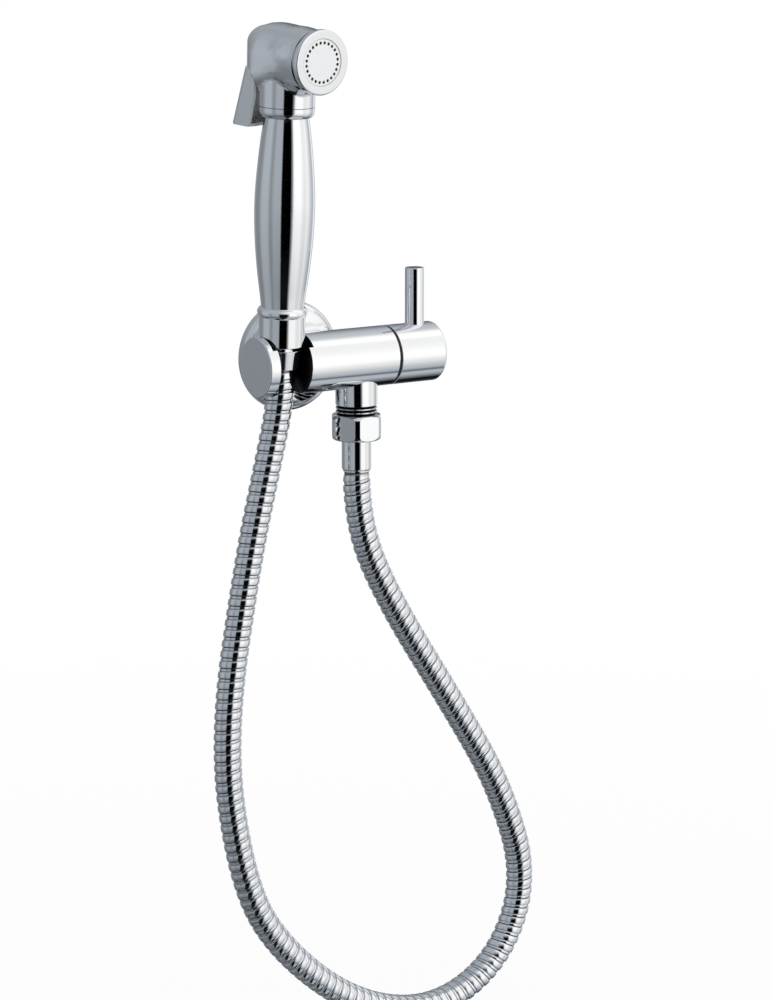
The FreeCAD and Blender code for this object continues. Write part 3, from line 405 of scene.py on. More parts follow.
def surface_group(name):
    """Slow change of tone and gloss over a surface, and its fine relief"""
    bench, given, made = new_group(
        name,
        [("Colour", "NodeSocketColor", (0.8, 0.8, 0.8, 1)),
         ("Shade", "NodeSocketColor", (0.7, 0.7, 0.7, 1)),
         ("Gloss From", "NodeSocketFloat", 0.03),
         ("Gloss To", "NodeSocketFloat", 0.08),
         ("Patch Scale", "NodeSocketFloat", 60.0),
         ("Grain Scale", "NodeSocketFloat", 900.0),
         ("Grain Share", "NodeSocketFloat", 0.3)],
        [("Colour", "NodeSocketColor"), ("Roughness", "NodeSocketFloat"),
         ("Height", "NodeSocketFloat")])
    place = bench.add("ShaderNodeTexCoord")
    patches = bench.add("ShaderNodeTexNoise")
    patches.inputs["Detail"].default_value = 3.0
    grain = bench.add("ShaderNodeTexNoise")
    grain.inputs["Detail"].default_value = 2.0
    for noise, scale in ((patches, "Patch Scale"), (grain, "Grain Scale")):
        bench.join(place.outputs["Object"], noise.inputs["Vector"])
        bench.join(given.outputs[scale], noise.inputs["Scale"])
    tone = bench.add("ShaderNodeMix", data_type="RGBA")
    bench.join(patches.outputs["Fac"], tone.inputs["Factor"])
    bench.join(given.outputs["Colour"], tone.inputs[6])
    bench.join(given.outputs["Shade"], tone.inputs[7])
    mixed = bench.blend(given.outputs["Grain Share"], patches.outputs["Fac"],
                        grain.outputs["Fac"])
    gloss = bench.blend(mixed, given.outputs["Gloss From"], given.outputs["Gloss To"])
    bench.join(tone.outputs[2], made.inputs["Colour"])
    bench.join(gloss, made.inputs["Roughness"])
    bench.join(mixed, made.inputs["Height"])
    return bench.tree


def turning_group(name):
    """Fine rings that a lathe leaves, about an axis along Z through the origin"""
    bench, given, made = new_group(
        name,
        [("Ring Pitch", "NodeSocketFloat", 0.0003), ("Unevenness", "NodeSocketFloat", 0.3)],
        [("Height", "NodeSocketFloat")])
    place = bench.add("ShaderNodeTexCoord")
    noise = bench.add("ShaderNodeTexNoise")
    noise.inputs["Scale"].default_value = 400.0
    bench.join(place.outputs["Object"], noise.inputs["Vector"])
    turns = bench.maths("DIVIDE", bench.place()[2], given.outputs["Ring Pitch"])
    uneven = bench.product(noise.outputs["Fac"], given.outputs["Unevenness"])
    phase = bench.maths("ADD", turns, uneven)
    bench.join(bench.maths("PINGPONG", phase, 0.5), made.inputs["Height"])
    return bench.tree


def pipe_thread_group(name):
    """Grooves of a pipe thread about an axis along Y, for the inlet behind the flange"""
    bench, given, made = new_group(
        name,
        [("Pitch", "NodeSocketFloat", 0.001814), ("Thread Radius", "NodeSocketFloat", 0.01048),
         ("Tolerance", "NodeSocketFloat", 0.0002), ("From", "NodeSocketFloat", -0.001),
         ("To", "NodeSocketFloat", 0.0134)],
        [("Height", "NodeSocketFloat")])
    across, along, up = bench.place()
    turn = bench.maths("DIVIDE", bench.maths("ARCTAN2", up, across), math.tau)
    turns = bench.maths("DIVIDE", along, given.outputs["Pitch"])
    wave = bench.maths("PINGPONG", bench.maths("ADD", turns, turn), 0.5)
    off = bench.apart(bench.reach(across, up), given.outputs["Thread Radius"])
    on_radius = bench.maths("LESS_THAN", off, given.outputs["Tolerance"])
    after = bench.maths("GREATER_THAN", along, given.outputs["From"])
    before = bench.maths("LESS_THAN", along, given.outputs["To"])
    bench.join(bench.product(wave, 2.0, on_radius, after, before), made.inputs["Height"])
    return bench.tree


def shaded_hollow_group(name):
    """Where the valve body gets painted shade: in the holder's slot and in the outlet's thread"""
    bench, given, made = new_group(
        name,
        [("Slot X", "NodeSocketFloat", SLOT_X), ("Slot Half", "NodeSocketFloat", 0.0120),
         ("Axis Y", "NodeSocketFloat", VALVE_AXIS_Y), ("Body Radius", "NodeSocketFloat", 0.0149),
         ("Outlet X", "NodeSocketFloat", 0.0242), ("Thread Top", "NodeSocketFloat", -0.0228),
         ("Groove Radius", "NodeSocketFloat", 0.0102), ("Core Radius", "NodeSocketFloat", 0.009)],
        [("Mask", "NodeSocketFloat")])
    across, back, up = bench.place()
    off_axis = bench.maths("SUBTRACT", back, given.outputs["Axis Y"])
    from_slot = bench.apart(across, given.outputs["Slot X"])
    between = bench.maths("LESS_THAN", from_slot, given.outputs["Slot Half"])
    inside = bench.maths("LESS_THAN", bench.reach(off_axis, up), given.outputs["Body Radius"])
    from_outlet = bench.reach(bench.maths("SUBTRACT", across, given.outputs["Outlet X"]), off_axis)
    sunk = bench.maths("LESS_THAN", from_outlet, given.outputs["Groove Radius"])
    outside = bench.maths("GREATER_THAN", from_outlet, given.outputs["Core Radius"])
    under = bench.maths("LESS_THAN", up, given.outputs["Thread Top"])
    in_thread = bench.product(sunk, outside, under)
    shaded = bench.maths("MAXIMUM", bench.product(between, inside), in_thread)
    bench.join(shaded, made.inputs["Mask"])
    return bench.tree


# Painted shade in the valve body's slot and outlet thread
def hollow_shade_mask(bench):
    hollows = shared_group("Painted Shade in Hollows", shaded_hollow_group)
    return bench.add("ShaderNodeGroup", node_tree=hollows).outputs["Mask"]


def groove_shade_mask(bench):
    """Painted shade, darkest at the bottom of the hose's groove, from the mesh's own attribute"""
    depth = bench.add("ShaderNodeAttribute", attribute_name="groove_depth")
    deep = bench.maths("SUBTRACT", depth.outputs["Fac"], GROOVE_SHADE_FROM)
    return bench.maths("MULTIPLY", deep, GROOVE_SHADE_GAIN, clamp=True)


def inward_light_mask(bench):
    """The faces that look forwards, which are the inside of the trigger's channel, painted a paler
    grey as light
    """
    return bench.maths("LESS_THAN", bench.place("Normal")[1], INWARD_LIMIT)


def seam_shade_mask(bench):
    """A fine line of painted shade round the neck, where the ring meets the head"""
    back, up = bench.place()[1:]
    back = bench.maths("SUBTRACT", back, VALVE_AXIS_Y)
    lean = bench.product(back, -math.sin(HANDSET_TILT))
    height = bench.maths("ADD", bench.product(up, math.cos(HANDSET_TILT)), lean)
    return bench.maths("LESS_THAN", bench.apart(height, NECK_SEAM), SEAM_SHADE_HALF)


def cleared_bench(owner):
    """A bench for the emptied node tree of a material or a world"""
    owner.use_nodes = True
    bench = NodeBench(owner.node_tree)
    bench.nodes.clear()
    return bench


def new_finish(name, colour, shade, gloss, metallic=0.0, patch=60.0, grain=900.0,
               grain_share=0.3, relief=0.00002, extra=None, hollow=None, **plain):
    """A material whose tone, gloss and relief come from the shared surface group

    extra is a group with a height of its own, and the share of the relief that is kept
    beside it. hollow is the maker of a mask, and the colour, roughness and metallic
    share painted where the mask is 1, as painted shade, and inside the trigger as painted light.
    """
    material = bpy.data.materials.new(name)
    bench = cleared_bench(material)
    surface = shared_group("Surface Detail", surface_group)
    detail = bench.add("ShaderNodeGroup", node_tree=surface)
    settings = {
        "Colour": (*colour, 1), "Shade": (*shade, 1), "Gloss From": gloss[0],
        "Gloss To": gloss[1], "Patch Scale": patch, "Grain Scale": grain,
        "Grain Share": grain_share,
    }
    for label, value in settings.items():
        detail.inputs[label].default_value = value
    height = detail.outputs["Height"]
    if extra:
        group, share = extra
        marks = bench.add("ShaderNodeGroup", node_tree=group)
        height = bench.maths("ADD", bench.product(height, share), marks.outputs["Height"])
    bump = bench.add("ShaderNodeBump")
    bump.inputs["Strength"].default_value = 1.0
    bump.inputs["Distance"].default_value = relief
    bench.join(height, bump.inputs["Height"])
    shader = bench.add("ShaderNodeBsdfPrincipled")
    shader.inputs["Metallic"].default_value = metallic
    for label, value in plain.items():
        shader.inputs[label.replace("_", " ")].default_value = value
    tone = detail.outputs["Colour"]
    polish = detail.outputs["Roughness"]
    # Painted shade, and inside the trigger painted light, where the mask is 1
    if hollow:
        find_mask, painted_colour, painted_roughness, painted_metallic = hollow
        mask = find_mask(bench)
        tone = bench.tint(mask, tone, painted_colour)
        polish = bench.blend(mask, polish, painted_roughness)
        bench.join(bench.blend(mask, metallic, painted_metallic), shader.inputs["Metallic"])
    bench.join(tone, shader.inputs["Base Color"])
    bench.join(polish, shader.inputs["Roughness"])
    bench.join(bump.outputs["Normal"], shader.inputs["Normal"])
    output = bench.add("ShaderNodeOutputMaterial")
    bench.join(shader.outputs["BSDF"], output.inputs["Surface"])
    return material


def darker(colour, share):
    return tuple(value * share for value in colour)


def finish_nodes(names, material):
    """Gives the named nodes of the frame one material"""
    for name in names:
        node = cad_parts.get(name)
        if node is None:
            raise RuntimeError("the frame has no node named " + name)
        if not node.material_slots:
            node.data.materials.append(material)
        for slot in node.material_slots:
            slot.material = material


def placed_object(name, data):
    """A new object with this data, in the scene"""
    piece = bpy.data.objects.new(name, data)
    bpy.context.scene.collection.objects.link(piece)
    return piece


def mesh_object(name, points, faces, material):
    """A new piece from points and faces"""
    mesh = bpy.data.meshes.new(name)
    mesh.from_pydata([tuple(p) for p in points], [], faces)
    mesh.validate()
    mesh.materials.append(material)
    return placed_object(name, mesh)


def route_points(route):
    """Points read from the NURBS spline whose control points are the route"""
    data = bpy.data.curves.new("hose_route", "CURVE")
    data.dimensions = "3D"
    spline = data.splines.new("NURBS")
    spline.points.add(len(route) - 1)
    for point, place in zip(spline.points, route):
        point.co = (*place, 1)
    spline.order_u = 3
    spline.use_endpoint_u = True
    spline.resolution_u = 64
    line = placed_object("hose_route", data)
    bpy.context.view_layer.update()
    read = bpy.data.meshes.new_from_object(line)
    points = np.array([v.co for v in read.vertices])
    bpy.data.objects.remove(line)
    bpy.data.curves.remove(data)
    bpy.data.meshes.remove(read)
    return points


def carried_frames(points):
    """Two directions across the path at each of its points, carried along without twist"""
    along = np.gradient(points, axis=0)
    along /= np.linalg.norm(along, axis=1)[:, None]
    side = np.cross(along[0], (0, 1, 0))
    side /= np.linalg.norm(side)
    sides = []
    for direction in along:
        side = side - direction * (side @ direction)
        side = side / np.linalg.norm(side)
        sides.append(side)
    sides = np.array(sides)
    return sides, np.cross(along, sides)


def strip_mesh(points, sizes):
    """Grid of the helical strip: its columns go round the hose, its rows along it"""
    steps = np.linalg.norm(np.diff(points, axis=0), axis=1)
    reached = np.concatenate([[0], np.cumsum(steps)])
    length = reached[-1]
    side, over = carried_frames(points)
    turns = int(length / sizes.pitch) + 2
    rows = [((turn + share) * sizes.pitch, depth)
            for turn in range(-1, turns) for share, depth in STRIP_PROFILE]
    columns = STEPS_ROUND_HOSE
    angles = np.arange(columns) / columns
    start = np.array([row[0] for row in rows])
    depth = np.array([row[1] for row in rows])
    where = np.clip(start[:, None] + sizes.pitch * angles[None, :], 0, length)
    ends = np.clip(np.minimum(where, length - where) / sizes.pitch, 0, 1)
    groove = sizes.groove * (1 - ends * (1 - depth[:, None]))
    radius = sizes.diameter / 2 - groove
    centre = np.stack([np.interp(where, reached, points[:, i]) for i in range(3)], -1)
    across = np.stack([np.interp(where, reached, side[:, i]) for i in range(3)], -1)
    upward = np.stack([np.interp(where, reached, over[:, i]) for i in range(3)], -1)
    turn = (angles * math.tau)[None, :, None]
    verts = centre + radius[..., None] * (across * np.cos(turn) + upward * np.sin(turn))
    faces = []
    per_turn = len(STRIP_PROFILE)
    for row in range(len(rows) - 1):
        for column in range(columns - 1):
            a = row * columns + column
            faces.append((a, a + 1, a + columns + 1, a + columns))
        last = row * columns + columns - 1
        beyond = (row + per_turn) * columns
        if row + per_turn + 1 < len(rows):
            faces.append((last, beyond, beyond + columns, last + columns))
    depths = groove / sizes.groove
    return verts.reshape(-1, 3), faces, depths.ravel()


def tidy_shell(piece):
    """Welds a shell, closes its ends, turns its faces outwards and smooths it"""
    shell = bmesh.new()
    shell.from_mesh(piece.data)
    bmesh.ops.remove_doubles(shell, verts=shell.verts, dist=WELD_DISTANCE)
    loose = [v for v in shell.verts if not v.link_faces]
    bmesh.ops.delete(shell, geom=loose, context="VERTS")
    open_edges = [e for e in shell.edges if e.is_boundary]
    bmesh.ops.holes_fill(shell, edges=open_edges, sides=0)
    bmesh.ops.recalc_face_normals(shell, faces=shell.faces)
    for face in shell.faces:
        face.smooth = True
    shell.to_mesh(piece.data)
    shell.free()
    piece.data.set_sharp_from_angle(angle=SHARP_ANGLE)


class BIDET_OT_hose(bpy.types.Operator):
    """Builds the interlocked metal hose along its route"""

    bl_idname = "bidet.hose"
    bl_label = "Metal Hose"

    def execute(self, context):
        sizes = context.scene.bidet_hose
        colours = context.scene.bidet_finish
        # Painted shade darkens the bottoms of the hose's grooves
        steel = new_finish(
            "hose_steel", colours.hose, darker(colours.hose, 0.92), (0.04, 0.09),
            metallic=1.0, patch=120.0, grain=1500.0, grain_share=0.4, relief=0.000004,
            hollow=(groove_shade_mask, PAINTED_SHADE_METAL, 0.3, 1.0))
        path = route_points(HOSE_ROUTE)
        points, faces, depths = strip_mesh(path, sizes)
        hose = mesh_object("metal_hose", points, faces, steel)
        groove = hose.data.attributes.new("groove_depth", "FLOAT", "POINT")
        groove.data.foreach_set("value", depths.astype(np.float32))
        tidy_shell(hose)
        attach(hose, "fixture")
        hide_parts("hose")
        return {"FINISHED"}


def chrome_finish(name, colours, gloss, grain_share=0.1, relief=0.00001, **more):
    """Polished chrome, whose least and most roughness are shares of the set one"""
    rough = [colours.chrome_gloss * share for share in gloss]
    return new_finish(
        name, colours.chrome, darker(colours.chrome, 0.96), rough, metallic=1.0, patch=35.0,
        grain=700.0, grain_share=grain_share, relief=relief, **more)


class BIDET_OT_chrome(bpy.types.Operator):
    """Gives the castings, grip, nuts and ferrules their polished chrome"""

    bl_idname = "bidet.chrome"
    bl_label = "Chrome Parts"

    def execute(self, context):
        colours = context.scene.bidet_finish
        chrome = chrome_finish("polished_chrome", colours, (0.6, 1.4))
        # Painted shade in the holder's slot and in the outlet's thread grooves
        threaded_shaded = chrome_finish(
            "threaded_chrome_shaded_hollows", colours, (0.6, 1.4), grain_share=0.15, relief=0.0009,
            extra=(shared_group("Pipe Thread", pipe_thread_group), 0.012),
            hollow=(hollow_shade_mask, PAINTED_SHADE_METAL, 0.3, 1.0))
        # Painted light: a paler, duller grey on the inside of the trigger's channel
        trigger_painted_light = chrome_finish(
            "trigger_chrome_painted_inside", colours, (1.6, 3.0), hollow=(inward_light_mask, TRIGGER_PAINTED_GREY, 0.5, 0.3))
        # Painted shade: a fine dark line along the neck's seam
        seam_shaded = chrome_finish(
            "head_chrome_shaded_seam", colours, (0.8, 1.8), hollow=(seam_shade_mask, PAINTED_SHADE_METAL, 0.4, 1.0))
        finish_nodes(CHROME_NODES, chrome)
        finish_nodes(["valve_body"], threaded_shaded)
        finish_nodes(["trigger"], trigger_painted_light)
        finish_nodes(["neck_ring", "head_body"], seam_shaded)
        return {"FINISHED"}


def share_along(values, stretch):
    """0 up to the start of the stretch, 1 from its end on, and even between"""
    start, width = stretch
    return np.clip((values - start) / width, 0, 1)


def rounder_top(points, sizes):
    """Moves points of the head so that the square back has rounder upper corners"""
    inwards = np.array(HANDSET.inverted())
    local = points @ inwards[:3, :3].T + inwards[:3, 3]
    across, back = local[:, 0], local[:, 1]
    up = local[:, 2] - HEAD_HEIGHT
    reach = np.maximum(np.hypot(across, up), 1e-6)
    square = BACK_GROWTH * share_along(back, BACK_RANGE)
    excess = np.maximum(reach - BARREL_RADIUS - square, 0)
    upper = share_along(up, TOP_RANGE)
    upper = upper * upper * (3 - 2 * upper)
    skin = share_along(reach, SKIN_RANGE)
    waist = sizes.waist * np.exp(-((back - WAIST_PLACE) / WAIST_SPREAD) ** 2) * upper * skin
    scale = 1 + (waist - sizes.rounding * upper * excess) / reach
    fall = sizes.fall * np.maximum(back, 0) * upper * skin
    local[:, 0] = across * scale
    local[:, 2] = up * scale - fall + HEAD_HEIGHT
    outwards = np.array(HANDSET)
    return local @ outwards[:3, :3].T + outwards[:3, 3]


def split_corners(corners, parts):
    """Cuts each triangle's three corner values into those of parts x parts triangles"""
    made = []

    def at(i, j):
        rest = parts - i - j
        return (corners[:, 0] * rest + corners[:, 1] * i + corners[:, 2] * j) / parts

    for i in range(parts):
        for j in range(parts - i):
            made.append(np.stack([at(i, j), at(i + 1, j), at(i, j + 1)], 1))
            if i + j < parts - 1:
                made.append(np.stack([at(i + 1, j), at(i + 1, j + 1), at(i, j + 1)], 1))
    return np.concatenate(made)


def moved_copy(node, name, parts=1, move=None):
    """A welded copy of a frame's node, with its points moved and its shading kept"""
    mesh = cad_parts[node].data
    points = np.empty(len(mesh.vertices) * 3, np.float32)
    mesh.vertices.foreach_get("co", points)
    corners = np.empty(len(mesh.loops), np.int32)
    mesh.loops.foreach_get("vertex_index", corners)
    normals = np.empty(len(mesh.loops) * 3, np.float32)
    mesh.corner_normals.foreach_get("vector", normals)
    places = points.reshape(-1, 3).astype(float)[corners].reshape(-1, 3, 3)
    places = split_corners(places, parts)
    shading = split_corners(normals.reshape(-1, 3, 3).astype(float), parts)
    _, first, welded = np.unique(np.round(places.reshape(-1, 3), 7), axis=0,
                                 return_index=True, return_inverse=True)
    faces = welded.reshape(-1, 3)
    whole = ((faces[:, 0] != faces[:, 1]) & (faces[:, 1] != faces[:, 2])
             & (faces[:, 2] != faces[:, 0]))
    verts = places.reshape(-1, 3)[first]
    at = places[whole].reshape(-1, 3)
    kept = shading[whole].reshape(-1, 3)
    if move:
        step = 1e-5
        slopes = np.stack([(move(at + step * axis) - move(at - step * axis)) / (2 * step)
                           for axis in np.eye(3)], -1)
        kept = np.einsum("nij,ni->nj", np.linalg.inv(slopes), kept)
        verts = move(verts)
    kept /= np.linalg.norm(kept, axis=1)[:, None]
    copy = bpy.data.meshes.new(name)
    copy.from_pydata(verts.tolist(), [], faces[whole].tolist())
    copy.shade_smooth()
    copy.normals_split_custom_set([tuple(n) for n in kept])
    return placed_object(name, copy)


class BIDET_OT_head(bpy.types.Operator):
    """Rounds the upper corners of the head casting"""

    bl_idname = "bidet.head"
    bl_label = "Head Casting"

    def execute(self, context):
        sizes = context.scene.bidet_head
        head = moved_copy("head_body", "head_casting", 3,
                          lambda points: rounder_top(points, sizes))
        head.data.materials.append(bpy.data.materials["head_chrome_shaded_seam"])
        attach(head, "fixture")
        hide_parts("head_body")
        return {"FINISHED"}


class BIDET_OT_spray(bpy.types.Operator):
    """Finishes the spray face and sets a soft tip in each of its holes"""

    bl_idname = "bidet.spray"
    bl_label = "Spray Face"

    def execute(self, context):
        sizes = context.scene.bidet_nozzles
        colours = context.scene.bidet_finish
        plate = new_finish(
            "spray_plate", (0.86, 0.87, 0.88), (0.82, 0.83, 0.84), (0.10, 0.2),
            metallic=0.0, patch=80.0, grain=1200.0, relief=0.00001, Coat_Weight=0.6)
        finish_nodes(["spray_face"], plate)
        rubber = rubber_finish(colours)
        tips = nozzle_ring(sizes, rubber)
        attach(tips, "fixture")
        return {"FINISHED"}


def rubber_finish(colours):
    """Moulded rubber, made once for the seals and the nozzle tips"""
    found = bpy.data.materials.get("seal_rubber")
    if found:
        return found
    return new_finish(
        "seal_rubber", colours.rubber, darker(colours.rubber, 1.6), (0.5, 0.7),
        patch=150.0, grain=2500.0, grain_share=0.6, relief=0.00003)


def tip_object(sizes):
    """One soft tip, a shallow cup open to the front, along Z"""
    angles = [math.tau * i / TIP_SIDES for i in range(TIP_SIDES)]
    points = [(reach * math.cos(angle), reach * math.sin(angle), depth)
              for reach, depth in TIP_PROFILE for angle in angles]
    faces = []
    for ring in range(len(TIP_PROFILE) - 1):
        for i in range(TIP_SIDES):
            a = ring * TIP_SIDES + i
            b = ring * TIP_SIDES + (i + 1) % TIP_SIDES
            faces.append((a, b, b + TIP_SIDES, a + TIP_SIDES))
    mesh = bpy.data.meshes.new("soft_tip")
    mesh.from_pydata([Vector(p) * sizes.radius for p in points], [], faces)
    tip = placed_object("soft_tip", mesh)
    tidy_shell(tip)
    return tip


def nozzle_tree(tip, material):
    """Geometry Nodes that set the tip on a ring of points"""
    tree = bpy.data.node_groups.new("Ring of Nozzle Tips", "GeometryNodeTree")
    for label, way, kind in (("Count", "INPUT", "Int"), ("Circle Radius", "INPUT", "Float"),
                             ("Geometry", "OUTPUT", "Geometry")):
        tree.interface.new_socket(name=label, in_out=way, socket_type="NodeSocket" + kind)
    bench = NodeBench(tree)
    given = bench.add("NodeGroupInput")
    circle = bench.add("GeometryNodeMeshCircle", fill_type="NONE")
    bench.join(given.outputs["Count"], circle.inputs["Vertices"])
    bench.join(given.outputs["Circle Radius"], circle.inputs["Radius"])
    shape = bench.add("GeometryNodeObjectInfo", transform_space="ORIGINAL")
    shape.inputs["Object"].default_value = tip
    placed = bench.add("GeometryNodeInstanceOnPoints")
    bench.join(circle.outputs["Mesh"], placed.inputs["Points"])
    bench.join(shape.outputs["Geometry"], placed.inputs["Instance"])
    real = bench.add("GeometryNodeRealizeInstances")
    bench.join(placed.outputs["Instances"], real.inputs["Geometry"])
    coloured = bench.add("GeometryNodeSetMaterial")
    coloured.inputs["Material"].default_value = material
    bench.join(real.outputs["Geometry"], coloured.inputs["Geometry"])
    made = bench.add("NodeGroupOutput")
    bench.join(coloured.outputs["Geometry"], made.inputs["Geometry"])
    return tree


def nozzle_ring(sizes, material):
    """The ring of soft tips as one plain mesh in the spray face's holes"""
    tip = tip_object(sizes)
    tree = nozzle_tree(tip, material)
    seed = placed_object("nozzle_seed", bpy.data.meshes.new("nozzle_seed"))
    modifier = seed.modifiers.new("Ring of Nozzle Tips", "NODES")
    modifier.node_group = tree
    values = {"Count": sizes.count, "Circle Radius": sizes.circle}
    for socket in tree.interface.items_tree:
        if socket.item_type == "SOCKET" and socket.in_out == "INPUT":
            modifier[socket.identifier] = values[socket.name]
    depsgraph = bpy.context.evaluated_depsgraph_get()
    made = bpy.data.meshes.new_from_object(seed.evaluated_get(depsgraph))
    seed.modifiers.remove(modifier)
    made.transform(spray_axis(sizes))
    tips = placed_object("nozzle_tips", made)
    for spare in (seed, tip):
        bpy.data.objects.remove(spare)
    bpy.context.view_layer.update()
    return tips


def spray_axis(sizes):
    """Puts a ring about Z into the spray face, which the handset's turn and tilt place"""
    head = Matrix.Translation((0, sizes.recess - FACE_FRONT, HEAD_HEIGHT))
    forwards = Matrix.Rotation(math.radians(90), 4, "X")
    half_step = Matrix.Rotation(math.pi / sizes.count, 4, "Z")
    return HANDSET @ head @ forwards @ half_step


class BIDET_OT_seals(bpy.types.Operator):
    """Gives the seals, washers and O-rings their rubber"""

    bl_idname = "bidet.seals"
    bl_label = "Seals"

    def execute(self, context):
        finish_nodes(SEAL_NODES, rubber_finish(context.scene.bidet_finish))
        return {"FINISHED"}


class BIDET_OT_plastics(bpy.types.Operator):
    """Gives the slip ring and the water tube their moulded plastic"""

    bl_idname = "bidet.plastics"
    bl_label = "Plastic Parts"

    def execute(self, context):
        colours = context.scene.bidet_finish
        black = new_finish(
            "black_plastic", colours.plastic, darker(colours.plastic, 1.5), (0.3, 0.42),
            patch=120.0, grain=1800.0, grain_share=0.5, relief=0.00002,
            Specular_IOR_Level=0.2)
        tube = new_finish(
            "tube_plastic", colours.tube, darker(colours.tube, 0.94), (0.35, 0.45),
            patch=90.0, grain=1500.0, relief=0.00002)
        finish_nodes(["slip_ring"], black)
        finish_nodes(["water_tube"], tube)
        return {"FINISHED"}


class BIDET_OT_metals(bpy.types.Operator):
    """Gives the turned brass and the steel parts inside their finish"""

    bl_idname = "bidet.metals"
    bl_label = "Brass and Steel Parts"

    def execute(self, context):
        colours = context.scene.bidet_finish
        brass = new_finish(
            "turned_brass", colours.brass, darker(colours.brass, 0.88), (0.22, 0.34),
            metallic=1.0, patch=110.0, grain=1200.0, relief=0.00002,
            extra=(shared_group("Turning Marks", turning_group), 0.5))
        steel = new_finish(
            "spring_steel", colours.steel, darker(colours.steel, 0.88), (0.22, 0.32),
            metallic=1.0, patch=140.0, grain=2000.0, relief=0.00001)
        finish_nodes(BRASS_NODES, brass)
        finish_nodes(STEEL_NODES, steel)
        return {"FINISHED"}


class BIDET_OT_spring(bpy.types.Operator):
    """Replaces the valve's spring with a welded copy of its own mesh, in spring steel"""

    bl_idname = "bidet.spring"
    bl_label = "Valve Spring"

    def execute(self, context):
        spring = moved_copy("valve_spring", "return_spring")
        spring.data.materials.append(bpy.data.materials["spring_steel"])
        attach(spring, "fixture")
        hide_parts("valve_spring")
        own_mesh(spring)
        return {"FINISHED"}


class BIDET_OT_ceramics(bpy.types.Operator):
    """Gives the two cartridge discs their lapped ceramic"""

    bl_idname = "bidet.ceramics"
    bl_label = "Ceramic Discs"

    def execute(self, context):
        colours = context.scene.bidet_finish
        ceramic = new_finish(
            "lapped_ceramic", colours.ceramic, darker(colours.ceramic, 0.95), (0.12, 0.2),
            patch=200.0, grain=3000.0, relief=0.000005)
        finish_nodes(CERAMIC_NODES, ceramic)
        return {"FINISHED"}


def room_world(levels):
    """White to the camera, a plain level as light, and a studio in the mirrors of the chrome"""
    world = bpy.data.worlds.new("studio_room")
    bench = cleared_bench(world)
    place = bench.add("ShaderNodeTexCoord")
    split = bench.add("ShaderNodeSeparateXYZ")
    turned = bench.add("ShaderNodeVectorRotate", rotation_type="Z_AXIS")
    turned.inputs["Angle"].default_value = PHOTO_TURN
    bench.join(place.outputs["Generated"], turned.inputs["Vector"])
    bench.join(turned.outputs["Vector"], split.inputs[0])
    towards = bench.maths("MULTIPLY", split.outputs["Y"], -1.0)
    azimuth = bench.maths("ARCTAN2", split.outputs["X"], towards)
    share_round = bench.maths("ADD", bench.maths("DIVIDE", azimuth, math.tau), 0.5)
    around, high, low = [bench.ramp(share_round, [((a + 180) / 360, v) for a, v in stops])
                         for stops in (ROOM_ROUND, ROOM_HIGH, ROOM_LOW)]
    rise = bench.maths("DIVIDE", bench.maths("ARCSINE", split.outputs["Z"]), math.pi / 2)
    drop = bench.maths("MULTIPLY", rise, -1.0, clamp=True)
    fall = bench.ramp(drop, [(degrees / 90, share) for degrees, share in ROOM_FALL])
    upwards = bench.ramp(rise, HIGH_BLEND)
    downwards = bench.ramp(drop, LOW_BLEND)
    overhead = bench.ramp(rise, ROOF_BLEND)
    walls = bench.blend(downwards, bench.blend(upwards, around, high), low)
    level = bench.product(fall, ROOM_GAIN, bench.blend(overhead, walls, ROOF_LEVEL))
    paleness = bench.maths("MULTIPLY", bench.maths("SUBTRACT", level, PALE_FROM), PALE_GAIN,
                           clamp=True)
    mirrored = bench.add("ShaderNodeBackground")
    bench.join(bench.tint(paleness, COOL_GREY, WHITE), mirrored.inputs["Color"])
    bench.join(level, mirrored.inputs["Strength"])
    lighting = bench.add("ShaderNodeBackground")
    lighting.inputs["Color"].default_value = (*WHITE, 1)
    lighting.inputs["Strength"].default_value = levels.room
    white = bench.add("ShaderNodeBackground")
    white.inputs["Color"].default_value = (*WHITE, 1)
    rays = bench.add("ShaderNodeLightPath")
    lit = bench.either(rays.outputs["Is Glossy Ray"], lighting.outputs[0], mirrored.outputs[0])
    seen = bench.either(rays.outputs["Is Camera Ray"], lit, white.outputs[0])
    output = bench.add("ShaderNodeOutputWorld")
    bench.join(seen, output.inputs["Surface"])
    return world


def floor_finish(levels):
    """Pale floor that turns to the white of the background towards its edge"""
    material = bpy.data.materials.new("pale_floor")
    bench = cleared_bench(material)
    place = bench.add("ShaderNodeTexCoord")
    reach = bench.add("ShaderNodeVectorMath", operation="LENGTH")
    bench.join(place.outputs["Object"], reach.inputs[0])
    edge = levels.floor_size * FLOOR_WHITE_AT
    share = bench.maths("DIVIDE", reach.outputs["Value"], edge, clamp=True)
    rays = bench.add("ShaderNodeLightPath")
    white = bench.product(rays.outputs["Is Camera Ray"],
                          bench.blend(share, FLOOR_WHITE_MIDDLE, 1.0))
    plain = bench.add("ShaderNodeBsdfPrincipled")
    plain.inputs["Base Color"].default_value = (*levels.floor, 1)
    plain.inputs["Roughness"].default_value = 0.9
    glow = bench.add("ShaderNodeEmission")
    glow.inputs["Strength"].default_value = 1.0
    mixed = bench.either(white, plain.outputs["BSDF"], glow.outputs["Emission"])
    output = bench.add("ShaderNodeOutputMaterial")
    bench.join(mixed, output.inputs["Surface"])
    return material


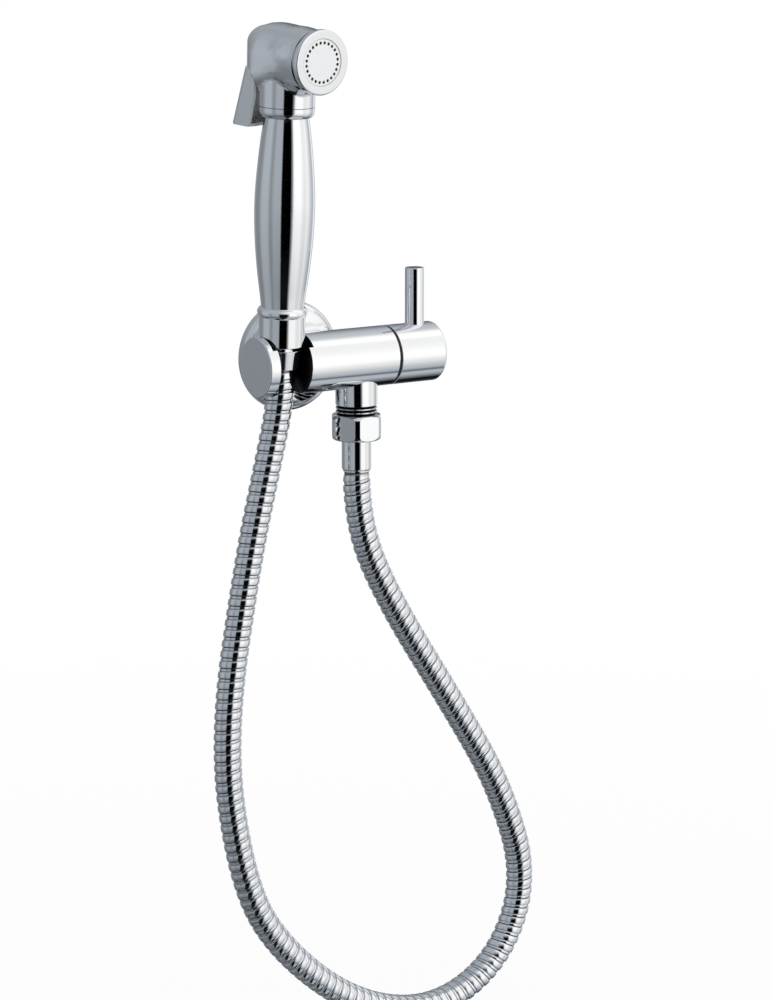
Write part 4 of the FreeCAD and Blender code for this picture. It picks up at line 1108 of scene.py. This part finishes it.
class BIDET_OT_studio(bpy.types.Operator):
    """Makes the floor, the light and the camera"""

    bl_idname = "bidet.studio"
    bl_label = "Studio"

    def execute(self, context):
        levels = context.scene.bidet_studio
        scene = context.scene
        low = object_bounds()[0]
        angles = [math.tau * i / FLOOR_SIDES for i in range(FLOOR_SIDES)]
        ring = [(levels.floor_size * math.cos(angle), levels.floor_size * math.sin(angle),
                 low.z - levels.floor_drop) for angle in angles]
        floor = mesh_object("floor", ring, [tuple(range(FLOOR_SIDES))], floor_finish(levels))
        floor.visible_glossy = False
        floor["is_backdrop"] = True
        lamp_data = bpy.data.lights.new("soft_lamp", "AREA")
        lamp_data.energy = levels.lamp
        lamp_data.size = LAMP_SIZE
        lamp = placed_object("soft_lamp", lamp_data)
        lamp.location = LAMP_PLACE
        aim = Vector(LAMP_AIM) - lamp.location
        lamp.rotation_euler = aim.to_track_quat("-Z", "Y").to_euler()
        lamp.visible_glossy = False
        camera_data = bpy.data.cameras.new("photo_camera")
        camera_data.lens = PHOTO_LENS
        camera_data.sensor_width = 36
        camera_data.clip_start = 0.05
        camera_data.clip_end = 30
        camera = placed_object("photo_camera", camera_data)
        camera.location = PHOTO_PLACE
        camera.rotation_euler = (PHOTO_TILT, 0, -PHOTO_TURN)
        scene.camera = camera
        scene.world = room_world(levels)
        scene.view_settings.view_transform = "Standard"
        return {"FINISHED"}


class BIDET_PT_sidebar(bpy.types.Panel):
    """Lists the pieces and their sizes"""

    bl_idname = "BIDET_PT_sidebar"
    bl_label = "Bidet Shower"
    bl_space_type = "VIEW_3D"
    bl_region_type = "UI"
    bl_category = "Bidet Shower"

    def draw(self, context):
        for setting in SETTINGS:
            group = getattr(context.scene, setting)
            box = self.layout.box()
            for name in group.__annotations__:
                box.prop(group, name)
        for step in STEPS:
            self.layout.operator(step.bl_idname)


STEPS = (
    BIDET_OT_hose, BIDET_OT_chrome, BIDET_OT_head, BIDET_OT_spray, BIDET_OT_seals,
    BIDET_OT_plastics, BIDET_OT_metals, BIDET_OT_spring, BIDET_OT_ceramics, BIDET_OT_studio,
)
SETTINGS = {
    "bidet_hose": HoseSizes,
    "bidet_head": HeadShape,
    "bidet_nozzles": NozzleSizes,
    "bidet_finish": FinishColours,
    "bidet_studio": StudioLevels,
}


def register():
    for group in SETTINGS.values():
        bpy.utils.register_class(group)
    for step in STEPS:
        bpy.utils.register_class(step)
    bpy.utils.register_class(BIDET_PT_sidebar)
    for name, group in SETTINGS.items():
        setattr(bpy.types.Scene, name, PointerProperty(type=group))


def unregister():
    for name in SETTINGS:
        delattr(bpy.types.Scene, name)
    bpy.utils.unregister_class(BIDET_PT_sidebar)
    for step in reversed(STEPS):
        bpy.utils.unregister_class(step)
    for group in reversed(list(SETTINGS.values())):
        bpy.utils.unregister_class(group)


def main():
    register()
    bpy.ops.bidet.hose()
    bpy.ops.bidet.chrome()
    bpy.ops.bidet.head()
    bpy.ops.bidet.spray()
    bpy.ops.bidet.seals()
    bpy.ops.bidet.plastics()
    bpy.ops.bidet.metals()
    bpy.ops.bidet.spring()
    bpy.ops.bidet.ceramics()
    bpy.ops.bidet.studio()


if __name__ == "__main__":
    main()
